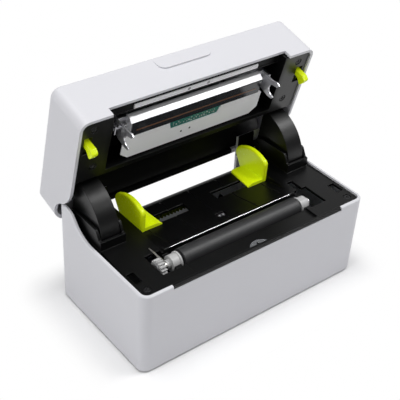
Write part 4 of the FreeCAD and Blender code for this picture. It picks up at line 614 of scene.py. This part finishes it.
add_piece("rear_trim", rear_trim, liner_black, "lid", on_lid=True)

# Tear bar: a bright ground steel strip under the lid's front ledge, held by two screws from behind. The
# folded sheet bracket behind it takes the push of the head's springs.
bright_strip = metal(
    "bright_strip",
    (0.96, 0.96, 0.97),
    rough=0.40,
    stretch=(20.0, 600.0, 600.0),
    depth=0.0000005,
    speck=0.01,
    metallic=0.08,
)
eased("tear_bar", "lid", bright_strip, width=0.00012)
dress(screw_steel, "tear_screws")
dress(zinc, "pressure_bracket")

# Print head: an extruded aluminium sink with a milled bevel, a dark ceramic with its glazed heater line,
# and a stamped plate over the green board behind it. It floats on two springs and hangs on two pins in
# the lid.
milled = metal(
    "milled_aluminium",
    (0.90, 0.90, 0.92),
    rough=0.36,
    stretch=(20.0, 1500.0, 1500.0),
    depth=0.000004,
    speck=0.03,
    metallic=0.5,
)
stamped = metal(
    "stamped_plate",
    (0.97, 0.97, 0.98),
    rough=0.46,
    stretch=(24.0, 700.0, 700.0),
    depth=0.000002,
    speck=0.02,
    metallic=0.02,
)
fork_steel = metal(
    "fork_steel",
    (0.70, 0.70, 0.73),
    rough=0.34,
    stretch=(200.0, 200.0, 900.0),
    depth=0.000006,
    speck=0.05,
    metallic=0.8,
)
eased("head_heatsink", "print_head", milled, width=0.0002)
eased("head_plate", "print_head", stamped, width=0.00018)
eased("fork_left", "print_head", fork_steel, width=0.0002)
eased("fork_right", "print_head", fork_steel, width=0.0002)
ceramic, ceramic_shader, ceramic_place = new_finish("dark_ceramic")
ceramic_cloud = grain(ceramic_place, 180.0, detail=3.0)
ceramic_tint = ceramic_cloud.blend((0.010, 0.011, 0.013), (0.022, 0.024, 0.028))
feed(ceramic_shader, ceramic_tint, ceramic_cloud.swing(0.08) + 0.12)
dress(ceramic, "head_ceramic")
glaze, glaze_shader, glaze_place = new_finish("heater_glaze")
glaze_dots = grain(glaze_place, 1.0, stretch=(2400.0, 300.0, 300.0))
glaze_tint = glaze_dots.blend((0.09, 0.040, 0.020), (0.20, 0.095, 0.050))
feed(glaze_shader, glaze_tint, glaze_dots.swing(0.1) + 0.16)
dress(glaze, "heater_line")
dress(board_green, "head_board")
dress(rod_steel, "head_pins", "latch_pins")
dress(acetal, "head_connector")

# Solder points in the plate's window: two rows of small tinned domes where the ceramic's leads meet the
# board, uneven as hand work leaves them.
POINTS_A_ROW, POINTS_HALF, POINTS_ROWS_Y, POINTS_Z = 17, 19.5, (-20.3, -17.6), 75.9
POINT_STRAY, POINT_R_MIN, POINT_R_MAX, POINT_FLATNESS = 0.55, 0.32, 0.72, 0.6
tin = metal(
    "solder_tin",
    (0.74, 0.76, 0.74),
    rough=0.30,
    stretch=(700.0, 700.0, 700.0),
    depth=0.00002,
    speck=0.1,
    metallic=0.6,
)
dice = np.random.default_rng(11)
row = np.linspace(-POINTS_HALF, POINTS_HALF, POINTS_A_ROW)
spots = np.stack((np.tile(row, 2), np.repeat(POINTS_ROWS_Y, POINTS_A_ROW)), -1)
spots += dice.uniform(-POINT_STRAY, POINT_STRAY, spots.shape)
spot_size = dice.uniform(POINT_R_MIN, POINT_R_MAX, len(spots))
solder_points = domes(spots, spot_size, spot_size * POINT_FLATNESS, POINTS_Z, facing=-1)
add_piece("solder_points", solder_points, tin, "print_head", on_lid=True)

# Board film: a strip of green film stuck over the plate's front edge at the window, so that the board
# shows up to the ceramic.
FILM_HALF, FILM_FRONT_Y, FILM_BACK_Y, FILM_LOW_Z, FILM_TOP_Z = 24.0, -23.75, -21.4, 74.98, 75.15
board_film = bar(-FILM_HALF, FILM_HALF, block(FILM_FRONT_Y, FILM_BACK_Y, FILM_LOW_Z, FILM_TOP_Z))
add_piece("board_film", board_film, board_green, "print_head", on_lid=True)

# Head springs: two steel coils with closed ends, between the sink and the bracket over it. In the
# printer they shorten as the head is pressed; here they are drawn at one length.
SPRING_X, SPRING_Y, SPRING_FOOT, SPRING_LEN = 35.0, -29.0, 82.1, 8.0
SPRING_TURNS, CLOSED_TURNS, COIL_R, COIL_WIRE_R, HEAD_TRAVEL = 6.0, 0.8, 3.0, 0.45, 1.5
COIL_ROWS, COIL_SIDES = 145, 8


def coils(places):
    """Coil springs on the z axis: a small circle carried along a helix that climbs one pitch a turn, its
    first and last turns laid flat, and drawn to a point at both ends of the wire."""
    path = np.concatenate(((0.0,), np.linspace(0.0, 1.0, COIL_ROWS), (1.0,)))
    thick = np.where((np.arange(len(path)) % (len(path) - 1)) == 0, 0.0, COIL_WIRE_R)[:, None]
    climb = (path * SPRING_TURNS - CLOSED_TURNS) / (SPRING_TURNS - 2.0 * CLOSED_TURNS)
    climb = np.clip(climb, 0.0, 1.0)[:, None]
    turn = (2.0 * np.pi * SPRING_TURNS * path)[:, None]
    about = np.linspace(0.0, 2.0 * np.pi, COIL_SIDES, endpoint=False)
    out = COIL_R + thick * np.cos(about)
    z = SPRING_FOOT + COIL_WIRE_R + climb * (SPRING_LEN - 2.0 * COIL_WIRE_R) + thick * np.sin(about)
    return copied(np.stack((out * np.cos(turn), out * np.sin(turn), z), -1), places)


head_coils = coils([(-SPRING_X, SPRING_Y), (SPRING_X, SPRING_Y)])
springs = add_piece("head_coils", head_coils, rod_steel, "print_head", ["head_springs"], on_lid=True)
spring_foot = placed([(0.0, SPRING_Y, SPRING_FOOT)], on_lid=True)[0]
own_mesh(springs)

# Clinch marks: two round punches that lock the plate to the bracket behind it, dark where the press has
# burnished the sheet.
CLINCHES, CLINCH_R, CLINCH_H, CLINCH_Z = [(-11.0, -9.0), (-3.0, -9.5)], 0.9, 0.35, 75.1
clinch_marks = domes(CLINCHES, CLINCH_R, CLINCH_H, CLINCH_Z, facing=-1)
add_piece("clinch_marks", clinch_marks, screw_black, "print_head", on_lid=True)

# Latches: levers in the lid's corners, moulded in the guides' lime, each on its own pin. Their noses snap
# into the deck's slots.
# The lime finish gives the latches its painted glow and lighter painted edges.
eased("latch_left", "latch_left", lime, width=0.0006)
eased("latch_right", "latch_right", lime, width=0.0006)

# Feed button, its board and the status light: a lime key in the lid's top over a small board, and a clear
# moulded pipe that brings the light up beside it.
# The lime finish gives the key its painted glow and lighter painted edges.
eased("feed_button", "feed_button", lime, width=0.0003)
dress(board_green, "button_board")
dress(lens_clear, "status_light")

# Floor: a pale sheet of studio paper under and behind the printer. It keeps the printer's shadow close to
# the base, and turns white for the camera, and in metal and glass, a little way out from it.
FLOOR_HALF = 6.0
FLOOR_GREY, FLOOR_SEEN = (0.72, 0.72, 0.73), (0.94, 0.94, 0.945)
BASE_OFF_Y, BASE_HALF_X, BASE_HALF_Y, WHITE_FROM_BASE = 0.01494, 0.1075, 0.0558, 0.036
WHITE = (1.0, 1.0, 1.0, 1.0)
floor_mesh = bpy.data.meshes.new("floor")
floor_corners = [
    (-FLOOR_HALF, -FLOOR_HALF, 0.0),
    (FLOOR_HALF, -FLOOR_HALF, 0.0),
    (FLOOR_HALF, FLOOR_HALF, 0.0),
    (-FLOOR_HALF, FLOOR_HALF, 0.0),
]
floor_mesh.from_pydata(floor_corners, [], [(0, 1, 2, 3)])
floor = bpy.data.objects.new("floor", floor_mesh)
bpy.context.scene.collection.objects.link(floor)
paper, paper_shader, paper_place = new_finish("studio_paper", shine=0.2)
paper_shader.inputs["Roughness"].default_value = 0.9
paper_tree = paper_place.tree
paper_rays = paper_tree.nodes.new("ShaderNodeLightPath").outputs
paper_seen = Field(paper_tree, paper_rays["Is Camera Ray"])
paper_glossed = Field(paper_tree, paper_rays["Is Glossy Ray"])
paper_shown = paper_seen + paper_glossed + Field(paper_tree, paper_rays["Is Transmission Ray"])
feed(paper_shader, paper_seen.blend(FLOOR_GREY, FLOOR_SEEN))
paper_side = paper_place.vector("ADD", (0.0, BASE_OFF_Y, 0.0)).vector("ABSOLUTE")
paper_out = paper_side.vector("SUBTRACT", (BASE_HALF_X, BASE_HALF_Y, 0.0)).vector("MAXIMUM")
paper_white = paper_out.vector("LENGTH", out="Value").ramp(0.0, WHITE_FROM_BASE, how="SMOOTHSTEP")
paper_plain = Field(paper_tree, paper_shader.outputs[0])
paper_glow = paper_place.node("ShaderNodeEmission", None, 0, {"Color": WHITE})
paper_mix = {0: paper_shown * paper_white, 1: paper_plain, 2: paper_glow}
paper_surface = paper_place.node("ShaderNodeMixShader", None, 0, paper_mix)
paper_surface.into(paper_tree.nodes["Material Output"], "Surface")
floor_mesh.materials.append(paper)

# Studio: white for the camera and through glass, an even low light on the printer, and for reflections
# darker in front than behind, as in a tent that is open towards the camera.
SKY_LIGHT, SKY_BEHIND, SKY_FRONT_LOSS, SKY_TURN = 0.26, 0.62, 0.18, 0.6
world = bpy.data.worlds.new("studio")
world.use_nodes = True
bpy.context.scene.world = world
sky_tree = world.node_tree
sky = sky_tree.nodes["Background"]
sky.inputs["Color"].default_value = WHITE
sky_rays = sky_tree.nodes.new("ShaderNodeLightPath").outputs
sky_seen = Field(sky_tree, sky_rays["Is Camera Ray"]) + Field(sky_tree, sky_rays["Is Transmission Ray"])
sky_glossed = Field(sky_tree, sky_rays["Is Glossy Ray"])
heading = Field(sky_tree, sky_tree.nodes.new("ShaderNodeTexCoord").outputs["Generated"])
behind = heading.axis("Y").ramp(0.0, SKY_TURN, how="SMOOTHSTEP")
sky_gloss = sky_glossed * (behind * SKY_BEHIND - SKY_FRONT_LOSS)
(sky_seen * (1.0 - SKY_LIGHT) + sky_gloss + SKY_LIGHT).into(sky, "Strength")

# Lamps: a soft key high on the right, a broad one overhead, a weak fill on the left and a small card in
# front. All are area lamps aimed at the printer's middle.


def soft_light(name, place, aim_z, size, power):
    """A rectangular lamp that faces a point over the middle of the floor; power is in watts."""
    lamp = bpy.data.lights.new(name, "AREA")
    lamp.shape = "RECTANGLE"
    lamp.size, lamp.size_y = size
    lamp.energy = power
    holder = bpy.data.objects.new(name, lamp)
    holder.location = place
    holder.rotation_euler = (Vector((0.0, 0.0, aim_z)) - Vector(place)).to_track_quat("-Z", "Y").to_euler()
    bpy.context.scene.collection.objects.link(holder)


soft_light("right_key", (0.97, -0.45, 1.52), aim_z=0.08, size=(0.60, 0.50), power=12.0)
soft_light("overhead", (-0.35, 0.05, 1.50), aim_z=0.08, size=(0.80, 0.60), power=9.5)
soft_light("left_fill", (-1.30, -0.10, 0.62), aim_z=0.08, size=(0.6, 0.6), power=4.2)
soft_light("front_card", (0.84, -0.94, 1.03), aim_z=0.07, size=(0.2, 0.2), power=2.2)

# Camera: the photograph's viewpoint, above and to the left of the printer's front. The view leans over by
# the roll angle.
EYE = Vector((-0.373334, -0.437240, 0.484258))
SENSOR_WIDTH, LENS, NEAREST = 36.0, 81.07, 0.01
turn, rise, roll = np.radians((-40.17, 35.73, 3.71))
back = Vector((np.sin(turn) * np.cos(rise), -np.cos(turn) * np.cos(rise), np.sin(rise)))
level = Vector((np.cos(turn), np.sin(turn), 0.0))
upward = back.cross(level)
right = level * np.cos(roll) + upward * np.sin(roll)
upward = upward * np.cos(roll) - level * np.sin(roll)
view = bpy.data.cameras.new("view")
view.sensor_width = SENSOR_WIDTH
view.lens = LENS
view.clip_start = NEAREST
camera = bpy.data.objects.new("view", view)
camera.matrix_world = Matrix.Translation(EYE) @ Matrix((right, upward, back)).transposed().to_4x4()
bpy.context.scene.collection.objects.link(camera)
bpy.context.scene.camera = camera
bpy.context.scene.view_settings.view_transform = "Standard"
